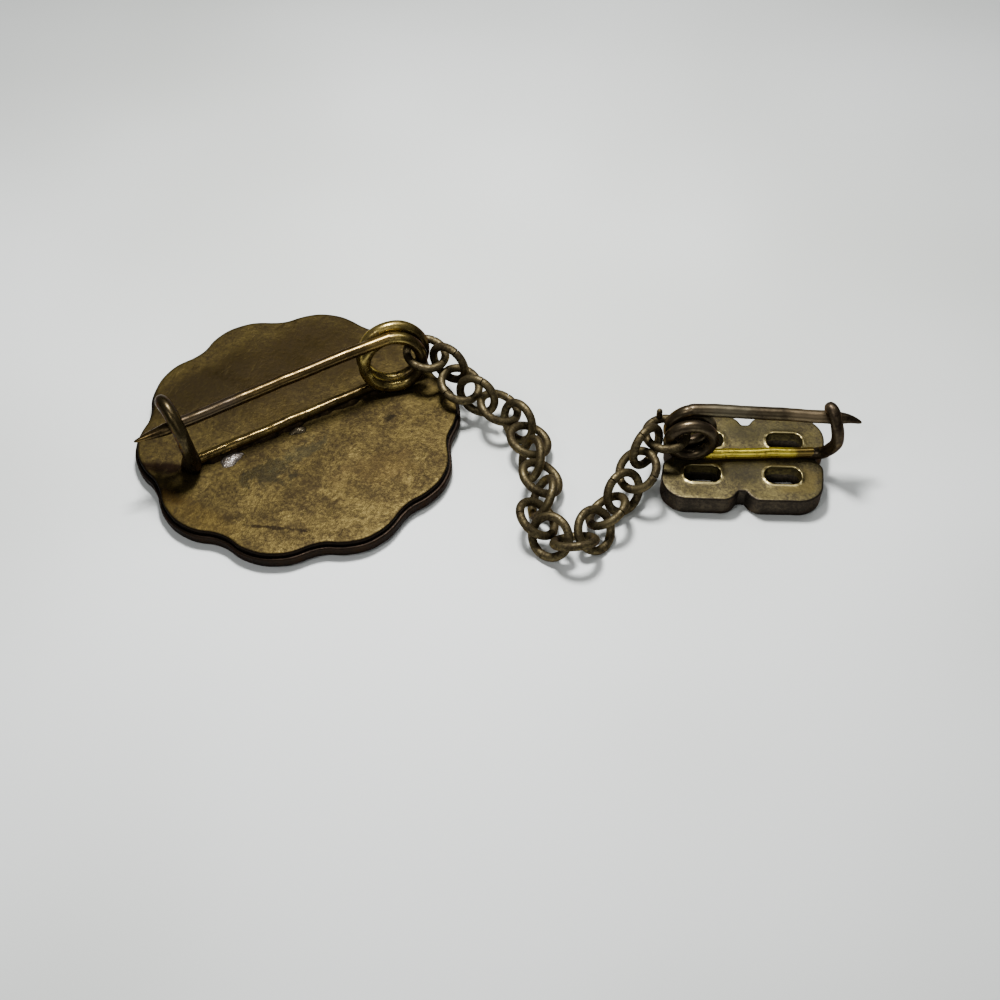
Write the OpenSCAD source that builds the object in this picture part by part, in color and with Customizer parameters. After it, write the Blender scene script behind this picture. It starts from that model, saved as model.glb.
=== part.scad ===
// Lapel pin lying face down: a scalloped badge, a fine chain and a four-lobed guard pin.
// Millimetres, +Z up. The origin is the middle of the badge front, on the surface that it lies on.
// The chain runs toward +X. Both plates carry a bent-wire pin on their backs, which face up.

/* [Badge plate] */
// Distance from the centre to the tip of a lobe
badge_tip_radius = 9.22; // [6:0.01:14]
// Distance from the centre to the bottom of a valley between lobes
badge_valley_radius = 8.66; // [5:0.01:13]
// Radius of the hollow curve in each valley
valley_curve = 2.0; // [0.5:0.1:4]
// Number of lobes round the disc
lobe_count = 10; // [6:1:16]
// Turn of the first lobe from +X, in degrees
lobe_turn = 12.0; // [0:0.5:36]
// Height of the badge back above the surface
badge_height = 1.2; // [0.8:0.05:3]
// Thickness of the back sheet that stands above the stepped rim
back_sheet = 0.35; // [0.2:0.05:0.8]
// Width of the ledge round the back sheet
rim_step = 0.18; // [0.05:0.01:0.5]
// Height of the narrower foot below the rim
rim_foot = 0.2; // [0.05:0.05:0.4]

/* [Badge pin] */
// Heading of the pin across the badge, in degrees from +X
pin_heading = 29.3; // [0:0.1:90]
// Radius of the wire of the stem and coil
pin_wire = 0.31; // [0.2:0.01:0.5]
// Radius of the base wire, partly sunk in solder
base_wire = 0.32; // [0.2:0.01:0.5]
// Radius of the stem's own turn of the coil, to the middle of the wire
stem_turn = 1.68; // [1:0.01:3]
// Radius of the fixed turn of the coil, to the middle of the wire
fixed_turn = 1.94; // [1:0.01:3]
// Turn of the coil from the heading of the pin, in degrees
coil_turn = -14.3; // [-45:0.1:45]
// Lean of the coil toward the far side, in degrees
coil_lean = 10; // [0:1:30]
// Distance between the middles of the two turns along the axis of the coil
turn_pitch = 0.8; // [0.65:0.01:1.5]
// Radius of the hook's wire
hook_wire = 0.42; // [0.3:0.01:0.7]

/* [Chain] */
// Radius of a link, to the middle of its wire
link_radius = 1.13; // [0.8:0.01:2]
// Radius of the link's wire
link_wire = 0.235; // [0.15:0.005:0.4]
// Number of links from coil to coil
link_count = 19; // [15:1:24]

/* [Guard plate] */
// Half of the width of the guard, along its long side
guard_half_width = 4.5; // [3:0.1:8]
// Half of the height of the guard
guard_half_height = 3.1; // [2:0.1:6]
// Thickness of the guard
guard_height = 1.4; // [0.8:0.05:3]
// Slant of the lobes from the short side, in degrees
guard_slant = 6.5; // [0:0.5:15]
// Turn of the guard on the surface, in degrees
guard_turn = -2; // [-20:0.5:20]
// Length of a slot
slot_length = 2.0; // [1:0.05:3]
// Width of a slot
slot_width = 1.15; // [0.6:0.05:2]

/* [Guard pin] */
// Radius of the wire of the guard's stem
guard_stem_wire = 0.37; // [0.25:0.01:0.5]
// Radius of the wire of the guard's coil and hook
guard_wire = 0.35; // [0.25:0.01:0.5]
// Radius of the fixed turn, to the middle of the wire
guard_fixed_turn = 1.2; // [0.8:0.01:2]
// Radius of the stem's own turn, to the middle of the wire
guard_stem_turn = 1.15; // [0.8:0.01:2]
// Radius of the sweep from the coil up to the stem
guard_sweep = 1.5; // [1:0.05:3]

/* [Hidden] */
// Small amount by which joined solids are sunk into one another
weld = 0.06;
// Extra radius of the ball that closes each bend of a wire
ball_extra = 0.012;

// Badge: tangent arcs of the scalloped edge
half_lobe = 180 / lobe_count;
valley_centre = badge_valley_radius + valley_curve;
lobe_curve = (pow(badge_tip_radius, 2) + pow(valley_centre, 2)
    - 2 * badge_tip_radius * valley_centre * cos(half_lobe) - pow(valley_curve, 2))
    / (2 * (valley_curve + badge_tip_radius - valley_centre * cos(half_lobe)));
lobe_centre = badge_tip_radius - lobe_curve;
rim_top = badge_height - back_sheet;
// Depth by which a valley cuts in past the lobes, so that the curves cross
valley_bite = 0.003;

// Badge pin: [along, far, up] in the pin's own frame
pin_origin = [-0.4, -0.04, 0];
coil_foot = [6.5, -0.28, badge_height + pin_wire + 0.1];
fixed_turn_drop = 0.05;
base_height = badge_height + base_wire - weld;
base_start = [-6.15, -0.12, base_height];
base_end = [6.65, 0.2, base_height];
stem_top = [6.55, -0.1, 4.99];
stem_hooked = [-6.9, 0.08, 4.41];
stem_point = [-8.8, 0.3, 4.2];
point_radius = 0.05;
solder_lumps = [[-4.35, -0.62, 0.75], [-1.05, -0.55, 0.5]];
solder_rise = 0.22;
hook_bends = [
    base_start,
    [-6.1, -0.75, 2.7],
    [-6.3, -0.9, 4.1],
    [-6.45, -0.55, 5.1],
    [-6.6, 0.25, 5.7],
    [-6.65, 0.9, 5.65],
    [-6.6, 1.25, 5.3],
];

// Chain: points that its route passes, from inside the badge coil to inside the guard coil.
// Columns: x, y, height of the middle of the link
route = [
    [7.3, 3.65, 3.2],
    [8.2, 3.35, 3.0],
    [9.0, 2.85, 2.8],
    [9.4, 1.95, 2.0],
    [10.0, 1.45, 2.2],
    [11.1, 0.95, 1.9],
    [11.8, 0.75, 1.5],
    [12.4, 0.35, 1.4],
    [13.2, -0.95, 1.2],
    [13.3, -2.45, 1.3],
    [13.8, -3.75, 1.2],
    [14.0, -5.25, 1.3],
    [13.6, -6.65, 1.2],
    [14.1, -7.95, 1.2],
    [15.1, -8.65, 1.3],
    [16.4, -8.05, 1.1],
    [17.2, -6.85, 1.1],
    [17.9, -5.75, 1.3],
    [18.6, -5.15, 1.6],
    [19.2, -4.35, 2.2],
    [19.5, -3.45, 2.9],
    [20.85, -2.37, 2.98],
];
// Steps into which each stretch of the route is cut to measure it
route_steps = 24;
// Half of the angle between one link and the next, and the twist of the chain at both ends,
// which eases to none along the stated number of links and comes back from the stated link
link_roll = 45;
end_twist = 45;
untwist_links = 13.7;
twist_back = 13;
// Cut end of the last link, which stands up from its ring
stub_length = 0.85;
stub_wire = 0.17;
stub_heading = 108;

// Guard: middle of the plate, and its lobes
guard_centre = [25.35, -2.72, 0];
lobe_round = 1.45;
inner_round = 0.9;
side_round = 0.55;
notch_half = 0.2;
guard_bevel = 0.12;
waist_half = 2.45;
side_waist = 4.05;
slot_offset = [2.25, 1.27];
slot_round = 0.5;

// Guard pin: [x, y, z] from the middle of the guard
guard_coil = [-3.15, -0.08];
guard_turn_pitch = 0.82;
guard_fixed_height = guard_height + guard_wire + guard_fixed_turn - 0.03;
guard_stem_height = guard_height + guard_wire + guard_stem_turn + 0.12;
guard_base_wire = 0.32;
guard_base_height = guard_height + guard_base_wire - weld;
guard_base_end = [3.85, 0.1, guard_base_height];
sweep_left = guard_coil[0] - guard_stem_turn;
guard_stem_hooked = [4.95, 0.45, 4.2];
guard_stem_point = [6.2, 0.42, 3.85];
guard_hook_bends = [
    guard_base_end,
    [4.55, -0.1, 2.0],
    [4.8, -0.4, 2.9],
    [4.8, -0.47, 3.7],
    [4.62, -0.3, 4.5],
    [4.42, 0.2, 5.02],
    [4.15, 0.75, 4.95],
];

$fn = 64;

// Straight wire from one point to another, which may taper
module straight_wire(from, to, start_radius, end_radius) {
    run = to - from;
    translate(from)
        rotate([0, acos(run[2] / norm(run)), atan2(run[1], run[0])])
            cylinder(h = norm(run), r1 = start_radius, r2 = end_radius);
}

// Round wire bent through three points along one arc
module arc_wire(first, middle, last, radius) {
    chord = last - first;
    lean = middle - first;
    square_on = cross(lean, chord);
    centre = first + cross(square_on, lean) * pow(norm(chord), 2) / (2 * pow(norm(square_on), 2))
        + cross(chord, square_on) * pow(norm(lean), 2) / (2 * pow(norm(square_on), 2));
    arm = (first - centre) / norm(first - centre);
    up = square_on / norm(square_on);
    side = cross(up, arm);
    far_arm = last - centre;
    sweep = atan2(far_arm * side, far_arm * arm);
    translate(centre)
        rotate([atan2(side[2], up[2]), -asin(arm[2]), atan2(arm[1], arm[0])])
            rotate_extrude(angle = sweep < 0 ? sweep + 360 : sweep)
                translate([norm(first - centre), 0])
                    circle(r = radius);
}

// Ball that closes a bend, turned so that its poles lie off the wires that it joins
module ball(radius) {
    rotate([31, 17, 0])
        sphere(r = radius);
}

// Wire through an odd number of points, an arc to every second one, with a ball at each joint
module bent_wire(bends, radius) {
    for (i = [0 : 2 : len(bends) - 3]) {
        arc_wire(bends[i], bends[i + 1], bends[i + 2], radius);
        translate(bends[i + 2])
            ball(radius + ball_extra);
    }
}

// Closed turn of wire that stands in the X-Z plane
module wire_turn(turn_radius, radius) {
    rotate([90, 0, 0])
        rotate_extrude()
            translate([turn_radius, 0])
                circle(r = radius);
}

// Scalloped disc edge, widened by the given amount: a star cut by the valleys and rounded by the lobes
module scalloped_edge(widen = 0) {
    lobe_turns = [for (i = [0 : lobe_count - 1]) lobe_turn + 2 * half_lobe * i];
    difference() {
        polygon([
            for (turn = lobe_turns, tip = [true, false])
                tip ? lobe_centre * [cos(turn), sin(turn)]
                    : valley_centre * [cos(turn + half_lobe), sin(turn + half_lobe)],
        ]);
        for (turn = lobe_turns) {
            translate(valley_centre * [cos(turn + half_lobe), sin(turn + half_lobe)])
                circle(r = valley_curve - widen + valley_bite);
        }
    }
    for (turn = lobe_turns) {
        translate(lobe_centre * [cos(turn), sin(turn)])
            circle(r = lobe_curve + widen);
    }
}

module badge_plate() {
    translate([0, 0, rim_foot])
        linear_extrude(rim_top - rim_foot)
            scalloped_edge(rim_step);
    linear_extrude(badge_height)
        scalloped_edge();
}

// Frame of the badge's coil, with its axis along Y
module in_coil_frame() {
    translate(coil_foot)
        rotate([0, 0, coil_turn])
            rotate([-coil_lean, 0, 0])
                children();
}

module in_pin_frame() {
    translate(pin_origin)
        rotate([0, 0, pin_heading])
            children();
}

module solder_lump(place, size) {
    ball = (pow(size, 2) + pow(solder_rise, 2)) / (2 * solder_rise);
    intersection() {
        translate([place[0], place[1], badge_height + solder_rise - ball])
            sphere(r = ball);
        translate([place[0] - 2 * size, place[1] - 2 * size, badge_height - weld])
            cube([4 * size, 4 * size, 1]);
    }
}

module badge() {
    color("goldenrod") {
        badge_plate();
        in_pin_frame() {
            straight_wire(base_start, base_end, base_wire, base_wire);
            translate(base_start)
                ball(hook_wire + ball_extra);
            in_coil_frame()
                translate([0.05, turn_pitch / 2, fixed_turn - fixed_turn_drop])
                    wire_turn(fixed_turn, pin_wire);
            bent_wire(hook_bends, hook_wire);
            for (lump = solder_lumps) {
                solder_lump(lump, lump[2]);
            }
        }
    }
}

module badge_pin() {
    color("tan")
        in_pin_frame() {
            in_coil_frame()
                translate([0, -turn_pitch / 2, stem_turn])
                    wire_turn(stem_turn, pin_wire);
            straight_wire(stem_top, stem_hooked, pin_wire, pin_wire);
            for (end = [stem_top, stem_hooked]) {
                translate(end)
                    ball(pin_wire + ball_extra);
            }
            straight_wire(stem_hooked, stem_point, pin_wire, point_radius);
        }
}

// Point on the smooth curve through the route
function clamped(i) = route[min(max(i, 0), len(route) - 1)];
function before(i) = i > 0 ? route[i - 1] : 2 * route[0] - route[1];
function after(i) = i + 2 < len(route) ? route[i + 2] : 2 * clamped(i + 1) - clamped(i);
function on_route(i, t) = 0.5 * (2 * clamped(i) + (clamped(i + 1) - before(i)) * t
    + (2 * before(i) - 5 * clamped(i) + 4 * clamped(i + 1) - after(i)) * t * t
    + (3 * clamped(i) - before(i) - 3 * clamped(i + 1) + after(i)) * t * t * t);

// The curve as short straight steps, and the length up to each of them
fine_route = [
    for (i = [0 : len(route) - 2])
        for (k = [0 : route_steps - 1])
            on_route(i, k / route_steps),
    route[len(route) - 1],
];
fine_length = [
    for (i = 0, run = 0; i < len(fine_route);
        i = i + 1, run = i < len(fine_route) ? run + norm(fine_route[i] - fine_route[i - 1]) : run)
        run
];
link_pitch = fine_length[len(fine_length) - 1] / (link_count - 1);
function at_length(run, i = 1) = i >= len(fine_length) - 1 || fine_length[i] >= run
    ? fine_route[i - 1] + (fine_route[i] - fine_route[i - 1])
        * (run - fine_length[i - 1]) / (fine_length[i] - fine_length[i - 1])
    : at_length(run, i + 1);
link_centre = [for (k = [0 : link_count - 1]) at_length(k * link_pitch)];
function twist(k) = end_twist * max(0, 1 - k / untwist_links)
    + end_twist * max(0, (k - twist_back) / (link_count - 1 - twist_back));

module chain_link(k) {
    along = link_centre[min(k + 1, link_count - 1)] - link_centre[max(k - 1, 0)];
    flat_run = norm([along[0], along[1]]);
    roll = twist(k) + (k % 2 == 0 ? link_roll : -link_roll);
    color(k % 2 == 0 ? "darkkhaki" : "rosybrown") {
        translate(link_centre[k])
            rotate([0, 0, atan2(along[1], along[0])])
                rotate([0, -atan2(along[2], flat_run), 0])
                    rotate([roll, 0, 0])
                        wire_turn(link_radius, link_wire);
        if (k == link_count - 1) {
            translate(link_centre[k] + link_radius * [cos(stub_heading), sin(stub_heading), 0])
                cylinder(h = stub_length, r = stub_wire);
        }
    }
}

// Point of the guard's plate, slanted with its lobes
function slanted(p) = [p[0] + p[1] * tan(guard_slant), p[1]];

// One lobe in the corner given by the signs, with three rounded corners
module guard_lobe(sx, sy, widen) {
    outer = slanted([sx * (guard_half_width - lobe_round), sy * (guard_half_height - lobe_round)]);
    inner = slanted([sx * (notch_half + inner_round), sy * (guard_half_height - inner_round)]);
    beside = slanted([sx * (guard_half_width - side_round), sy * (side_round + notch_half)]);
    across = sx * [cos(guard_slant), -sin(guard_slant)];
    upward = [0, sy];
    polygon([
        [0, 0],
        inner,
        inner + (inner_round + widen) * upward,
        outer + (lobe_round + widen) * upward,
        outer,
        outer + (lobe_round + widen) * across,
        beside + (side_round + widen) * across,
        beside,
    ]);
    translate(outer)
        circle(r = lobe_round + widen);
    translate(inner)
        circle(r = inner_round + widen);
    translate(beside)
        circle(r = side_round + widen);
}

// Whole edge of the guard, widened by the given amount
module guard_edge(widen = 0) {
    half_width = side_waist + widen;
    half_height = waist_half + widen;
    cut = guard_half_width - lobe_round;
    polygon([
        for (corner = [[-1, -1], [1, -1], [1, 1], [-1, 1]], first = [true, false])
            slanted(first == (corner[0] == corner[1])
                ? [corner[0] * half_width, corner[1] * (half_height - inner_round)]
                : [corner[0] * cut, corner[1] * half_height]),
    ]);
    for (sx = [-1, 1], sy = [-1, 1]) {
        guard_lobe(sx, sy, widen);
    }
}

module guard_slot(sx, sy) {
    half = [slot_length / 2 - slot_round, slot_width / 2 - slot_round];
    middle = slanted([sx * slot_offset[0], sy * slot_offset[1]]);
    translate(middle) {
        square([2 * half[0] + 2 * slot_round, 2 * half[1]], center = true);
        square([2 * half[0], 2 * half[1] + 2 * slot_round], center = true);
        for (x = [-1, 1], y = [-1, 1]) {
            translate([x * half[0], y * half[1]])
                circle(r = slot_round);
        }
    }
}

module guard_plate() {
    rotate([0, 0, guard_turn])
        difference() {
            union() {
                linear_extrude(guard_height)
                    guard_edge(-guard_bevel);
                translate([0, 0, guard_bevel])
                    linear_extrude(guard_height - guard_bevel)
                        guard_edge();
            }
            for (sx = [-1, 1], sy = [-1, 1]) {
                translate([0, 0, -1])
                    linear_extrude(guard_height + 2)
                        guard_slot(sx, sy);
            }
        }
}

module guard() {
    color("goldenrod")
        translate(guard_centre) {
            guard_plate();
            straight_wire([guard_coil[0], guard_coil[1] + 0.06, guard_base_height], guard_base_end,
                guard_base_wire, guard_base_wire);
            translate(guard_base_end)
                ball(guard_wire + ball_extra);
            translate([guard_coil[0], guard_coil[1], guard_fixed_height])
                wire_turn(guard_fixed_turn, guard_wire);
            bent_wire(guard_hook_bends, guard_wire);
        }
}

module guard_pin() {
    far_y = guard_coil[1] + guard_turn_pitch;
    sweep_start = [sweep_left, far_y, guard_stem_height];
    sweep_end = [sweep_left + guard_sweep, far_y, guard_stem_height + guard_sweep];
    sweep_middle = [
        sweep_left + guard_sweep * (1 - cos(45)),
        far_y,
        guard_stem_height + guard_sweep * sin(45),
    ];
    color("tan")
        translate(guard_centre) {
            translate([guard_coil[0], far_y, guard_stem_height])
                wire_turn(guard_stem_turn, guard_wire);
            arc_wire(sweep_start, sweep_middle, sweep_end, guard_stem_wire);
            translate(sweep_start)
                ball(guard_stem_wire + ball_extra);
            translate(sweep_end)
                ball(guard_stem_wire + ball_extra);
            straight_wire(sweep_end, guard_stem_hooked, guard_stem_wire, guard_stem_wire);
            translate(guard_stem_hooked)
                ball(guard_stem_wire + ball_extra / 4);
            straight_wire(guard_stem_hooked, guard_stem_point, guard_stem_wire, point_radius);
        }
}

badge();
badge_pin();
chain_link(0);  // chain_link_01
chain_link(1);  // chain_link_02
chain_link(2);  // chain_link_03
chain_link(3);  // chain_link_04
chain_link(4);  // chain_link_05
chain_link(5);  // chain_link_06
chain_link(6);  // chain_link_07
chain_link(7);  // chain_link_08
chain_link(8);  // chain_link_09
chain_link(9);  // chain_link_10
chain_link(10);  // chain_link_11
chain_link(11);  // chain_link_12
chain_link(12);  // chain_link_13
chain_link(13);  // chain_link_14
chain_link(14);  // chain_link_15
chain_link(15);  // chain_link_16
chain_link(16);  // chain_link_17
chain_link(17);  // chain_link_18
chain_link(18);  // chain_link_19
guard();
guard_pin();
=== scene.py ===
"""Lapel pin lying face down: a scalloped badge, a fine chain and a four-lobed guard pin.

Sizes are in millimetres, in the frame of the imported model, and every mesh is made in metres.
The backs of both plates face up, with a bent-wire pin on each of them.
"""
import logging
import math
from collections.abc import Callable, Iterable, Iterator
from dataclasses import dataclass, field
from enum import Enum, IntEnum
from itertools import chain

import bmesh
import bpy
import numpy as np
from mathutils import Matrix, Vector
from mathutils.geometry import delaunay_2d_cdt


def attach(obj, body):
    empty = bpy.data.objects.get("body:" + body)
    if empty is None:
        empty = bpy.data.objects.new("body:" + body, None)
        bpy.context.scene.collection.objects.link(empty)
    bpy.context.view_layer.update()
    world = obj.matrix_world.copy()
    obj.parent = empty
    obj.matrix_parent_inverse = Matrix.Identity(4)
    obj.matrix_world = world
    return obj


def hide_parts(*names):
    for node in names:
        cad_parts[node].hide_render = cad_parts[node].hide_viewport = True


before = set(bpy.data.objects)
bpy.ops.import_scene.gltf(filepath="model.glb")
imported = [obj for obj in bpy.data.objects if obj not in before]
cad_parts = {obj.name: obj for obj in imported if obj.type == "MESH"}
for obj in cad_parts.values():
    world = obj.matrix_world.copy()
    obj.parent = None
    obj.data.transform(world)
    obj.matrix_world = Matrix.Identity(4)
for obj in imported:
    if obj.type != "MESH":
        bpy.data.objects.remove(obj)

LOG = logging.getLogger("lapel_pin")
MM = 0.001
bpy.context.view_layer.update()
CORNERS = ((-1, -1), (1, -1), (1, 1), (-1, 1))

# Kinds of values: a wave is size, number and shift, a swell has its number along x and along y,
# the work on a wire is wander, unevenness and shift, and a taper is length, end radius and power.
Colour = tuple[float, float, float, float]
Shade = tuple[int, int, int]
Place = tuple[float, float, float]
Wave = tuple[float, float, float]
Swell = tuple[float, float, float, float]
Work = tuple[float, float, float]
Taper = tuple[float, float, float]
Material = bpy.types.Material
Node = bpy.types.Node
Piece = bpy.types.Object
Socket = bpy.types.NodeSocket
Tree = bpy.types.NodeTree


class Body(Enum):
    """The moving bodies of the pin."""

    JEWEL = "jewel"
    BADGE_STEM = "badge_stem"
    GUARD_STEM = "guard_stem"


class Slot(Enum):
    """The record's material slots."""

    BADGE = "badge_brass"
    STEM = "stem_brass"
    CHAIN = "chain_brass"
    GUARD = "guard_brass"


class Coat(IntEnum):
    """The finishes of a plate, in the order of its materials."""

    BACK = 0
    EDGE = 1
    LIP = 2


@dataclass(frozen=True)
class Home:
    """Where finished pieces belong.

    Attributes:
        body: The body that they move with.
        slot: Their material slot; it is not used.
        nodes: The nodes that they stand for.
    """

    body: Body
    slot: Slot
    nodes: tuple[str, ...]


ON_BADGE = Home(Body.JEWEL, Slot.BADGE, ("badge",))
ON_BADGE_STEM = Home(Body.BADGE_STEM, Slot.STEM, ("badge_pin",))
ON_GUARD = Home(Body.JEWEL, Slot.GUARD, ("guard",))
ON_GUARD_STEM = Home(Body.GUARD_STEM, Slot.STEM, ("guard_pin",))


# Colours, finishes and marks


def screen(red: int, green: int, blue: int) -> Colour:
    """Turn a colour as a screen shows it, 0 to 255, into the linear colour that a shader takes.

    Args:
        red: Red, 0 to 255.
        green: Green, 0 to 255.
        blue: Blue, 0 to 255.

    Returns:
        Red, green, blue and alpha, linear.
    """
    knee, slope, offset, power = 0.04045, 12.92, 0.055, 2.4
    parts = [value / 255 for value in (red, green, blue)]
    return (*(p / slope if p <= knee else ((p + offset) / (1 + offset)) ** power for p in parts), 1.0)


@dataclass(frozen=True)
class Finish:
    """One finish of aged brass, with its colours as a screen shows them, 0 to 255.

    Attributes:
        name: Name of the material.
        bare: Colour of the rubbed metal.
        aged: Colour of the brown skin over it.
        dirt: Colour of the dirt in the hollows, which on some rims also paints shade.
        cover: How much of the metal the brown skin covers, 0 to 1.
        mottle: Spots of the skin per metre.
        relief: Height of the fine roughness of the surface, in metres.
        bare_shine: Roughness of the rubbed metal.
        aged_shine: Roughness of the skin.
        scratched: Strength of the fine scratches, 0 to 1.
        flecks: Strength of the small flecks in the skin, 0 to 1.
        strokes: Strength of the short dark strokes of worn lacquer, 0 to 1.
    """

    name: str
    bare: Shade
    aged: Shade
    dirt: Shade
    cover: float
    mottle: float
    relief: float
    bare_shine: float
    aged_shine: float
    scratched: float
    flecks: float = 0.1
    strokes: float = 0.0


PLATE_BACK = Finish(
    "badge_back_brass", (77, 66, 36), (42, 34, 19), (14, 10, 6), cover=0.5,
    mottle=620.0, relief=0.00004, bare_shine=0.48, aged_shine=0.62, scratched=0.6, flecks=0.14,
    strokes=0.75)
BADGE_RIM = Finish(
    "badge_rim_brass", (40, 32, 26), (18, 14, 10), (6, 4, 3), cover=0.72,
    mottle=900.0, relief=0.00002, bare_shine=0.38, aged_shine=0.5, scratched=0.2, flecks=0.2)
COIL_WIRE = Finish(
    "coil_wire_brass", (170, 150, 84), (62, 51, 30), (18, 12, 6), cover=0.68,
    mottle=360.0, relief=0.000002, bare_shine=0.18, aged_shine=0.33, scratched=0.05)
BASE_WIRE = Finish(
    "base_wire_brass", (152, 129, 74), (58, 46, 26), (14, 9, 5), cover=0.6,
    mottle=380.0, relief=0.0000008, bare_shine=0.18, aged_shine=0.25, scratched=0.05)
HOOK_WIRE = Finish(
    "hook_wire_brass", (76, 66, 43), (39, 33, 21), (12, 8, 5), cover=0.66,
    mottle=600.0, relief=0.000006, bare_shine=0.2, aged_shine=0.36, scratched=0.2)
STEM_WIRE = Finish(
    "stem_wire_brass", (96, 79, 46), (46, 36, 20), (15, 10, 6), cover=0.6,
    mottle=250.0, relief=0.000001, bare_shine=0.19, aged_shine=0.28, scratched=0.05)
SEAM = Finish(
    "browned_solder", (60, 48, 27), (26, 19, 11), (10, 7, 5), cover=0.8,
    mottle=1500.0, relief=0.00003, bare_shine=0.4, aged_shine=0.6, scratched=0.0)
SOLDER = Finish(
    "solder_grey", (190, 182, 176), (78, 69, 56), (18, 14, 10), cover=0.58,
    mottle=1800.0, relief=0.00004, bare_shine=0.24, aged_shine=0.42, scratched=0.0, flecks=0.3)
BROWN_SOLDER = Finish(
    "solder_brown", (118, 108, 88), (58, 49, 33), (18, 14, 10), cover=0.6,
    mottle=1800.0, relief=0.00003, bare_shine=0.28, aged_shine=0.46, scratched=0.0, flecks=0.3)
CHAIN_BRASS = Finish(
    "chain_brass", (98, 88, 62), (46, 39, 26), (12, 9, 6), cover=0.62,
    mottle=900.0, relief=0.000014, bare_shine=0.44, aged_shine=0.6, scratched=0.1, flecks=0.16)
GUARD_BACK = Finish(
    "guard_back_brass", (96, 87, 55), (56, 50, 36), (19, 14, 10), cover=0.58,
    mottle=700.0, relief=0.00002, bare_shine=0.42, aged_shine=0.58, scratched=0.4, flecks=0.2)
# The lighter finish of the slots' lips: rubbed brass, and a painted highlight.
GUARD_LIP = Finish(
    "guard_lip_brass", (136, 124, 84), (70, 60, 40), (24, 18, 12), cover=0.4,
    mottle=900.0, relief=0.00001, bare_shine=0.3, aged_shine=0.48, scratched=0.1)
GUARD_WALL = Finish(
    "guard_wall_brass", (71, 64, 54), (38, 34, 30), (13, 9, 7), cover=0.7,
    mottle=900.0, relief=0.00002, bare_shine=0.38, aged_shine=0.52, scratched=0.2, flecks=0.2)
GUARD_BASE = Finish(
    "guard_base_brass", (224, 204, 76), (136, 110, 46), (60, 44, 24), cover=0.12,
    mottle=400.0, relief=0.000001, bare_shine=0.28, aged_shine=0.36, scratched=0.05)
GUARD_WIRE = Finish(
    "guard_wire_brass", (84, 74, 56), (38, 30, 23), (11, 8, 7), cover=0.6,
    mottle=260.0, relief=0.000003, bare_shine=0.3, aged_shine=0.4, scratched=0.1)


@dataclass(frozen=True)
class Mark:
    """One patch of colour over a finish, in millimetres: stains and worn patches, and some painted shade
    and highlights.

    Attributes:
        x: Place of its middle.
        y: Place of its middle.
        half_length: Half of its length.
        half_width: Half of its width.
        turn: Heading in degrees.
        colour: Its colour as a screen shows it.
        strength: How strongly it covers the metal, 0 to 1.
        ragged: How ragged its edge is.
        grain: Spots of its edge per metre.
        z: Height of its middle.
        half_depth: Half of its depth.
    """

    x: float
    y: float
    half_length: float
    half_width: float
    turn: float
    colour: Shade
    strength: float
    ragged: float
    grain: float = 900.0
    z: float = 1.3
    half_depth: float = 1.0


# Columns: x, y, half length, half width, turn, colour, strength, ragged, grain, z, half depth
BADGE_MARKS = (
    # The first three marks paint shade: they darken the back beyond the base wire, most of all beyond the
    # stem.
    Mark(-0.5, 4.6, 7.6, 4.0, 24, (37, 29, 15), 0.85, 1.6, 330.0),
    Mark(-6.0, 2.0, 3.6, 2.8, 40, (34, 27, 14), 0.75, 1.6, 380.0),
    Mark(1.0, 1.2, 6.4, 1.0, 29, (43, 35, 17), 0.6, 1.6, 500.0),
    Mark(-1.4, -3.8, 1.7, 1.1, 20, (27, 25, 17), 0.75, 3.4, 1100.0),
    Mark(0.3, -2.1, 1.9, 0.6, 36, (40, 39, 27), 0.5, 3.4, 1500.0),
    # A painted shadow of the hook over dark tarnish, from its foot towards the left edge.
    Mark(-7.0, -3.35, 2.2, 0.5, -6, (18, 9, 5), 0.95, 1.2, 700.0),
    Mark(-6.9, -5.3, 1.5, 0.6, -28, (24, 13, 6), 0.9, 1.4),
    Mark(-0.9, -7.55, 2.2, 0.14, -7, (18, 13, 8), 0.85, 3.2, 1500.0),
    Mark(-3.0, -6.8, 0.9, 0.3, 20, (22, 17, 11), 0.6, 3.0, 1500.0),
    Mark(5.2, 0.45, 0.34, 0.26, 30, (12, 10, 7), 0.85, 2.5, 2600.0),
    Mark(-5.2, -6.5, 3.2, 1.1, -34, (66, 52, 21), 0.35, 1.6, 500.0),
    Mark(5.0, -3.2, 2.8, 1.6, 20, (58, 46, 25), 0.45, 2.2, 700.0),
)
COIL_MARKS = (
    # This mark darkens the right side of the badge's fixed turn.
    Mark(7.2, 3.35, 2.0, 2.0, 15, (44, 35, 21), 0.88, 1.4, 600.0, 3.6, 3.4),
)
BASE_MARKS = (
    Mark(3.6, 2.25, 3.2, 0.9, 29, (64, 52, 30), 0.85, 1.6, 600.0, 1.5),
)
STEM_MARKS = (
    Mark(5.1, 2.95, 1.9, 0.9, 29, (118, 98, 54), 0.85, 1.2, 600.0, 4.9),
    Mark(-4.3, -2.2, 3.2, 0.9, 29, (72, 63, 53), 0.5, 1.4, 600.0, 4.5),
)
GUARD_MARKS = (
    Mark(22.6, -4.9, 1.4, 0.5, 10, (54, 48, 31), 0.5, 1.6, 700.0),
    Mark(28.4, -4.4, 1.5, 1.0, 30, (92, 80, 45), 0.6, 1.8, 700.0),
    Mark(25.3, -3.9, 1.4, 0.9, 0, (43, 40, 32), 0.65, 1.6, 700.0),
    Mark(25.2, -0.9, 3.6, 0.9, 4, (55, 51, 36), 0.6, 1.6, 500.0),
)
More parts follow.
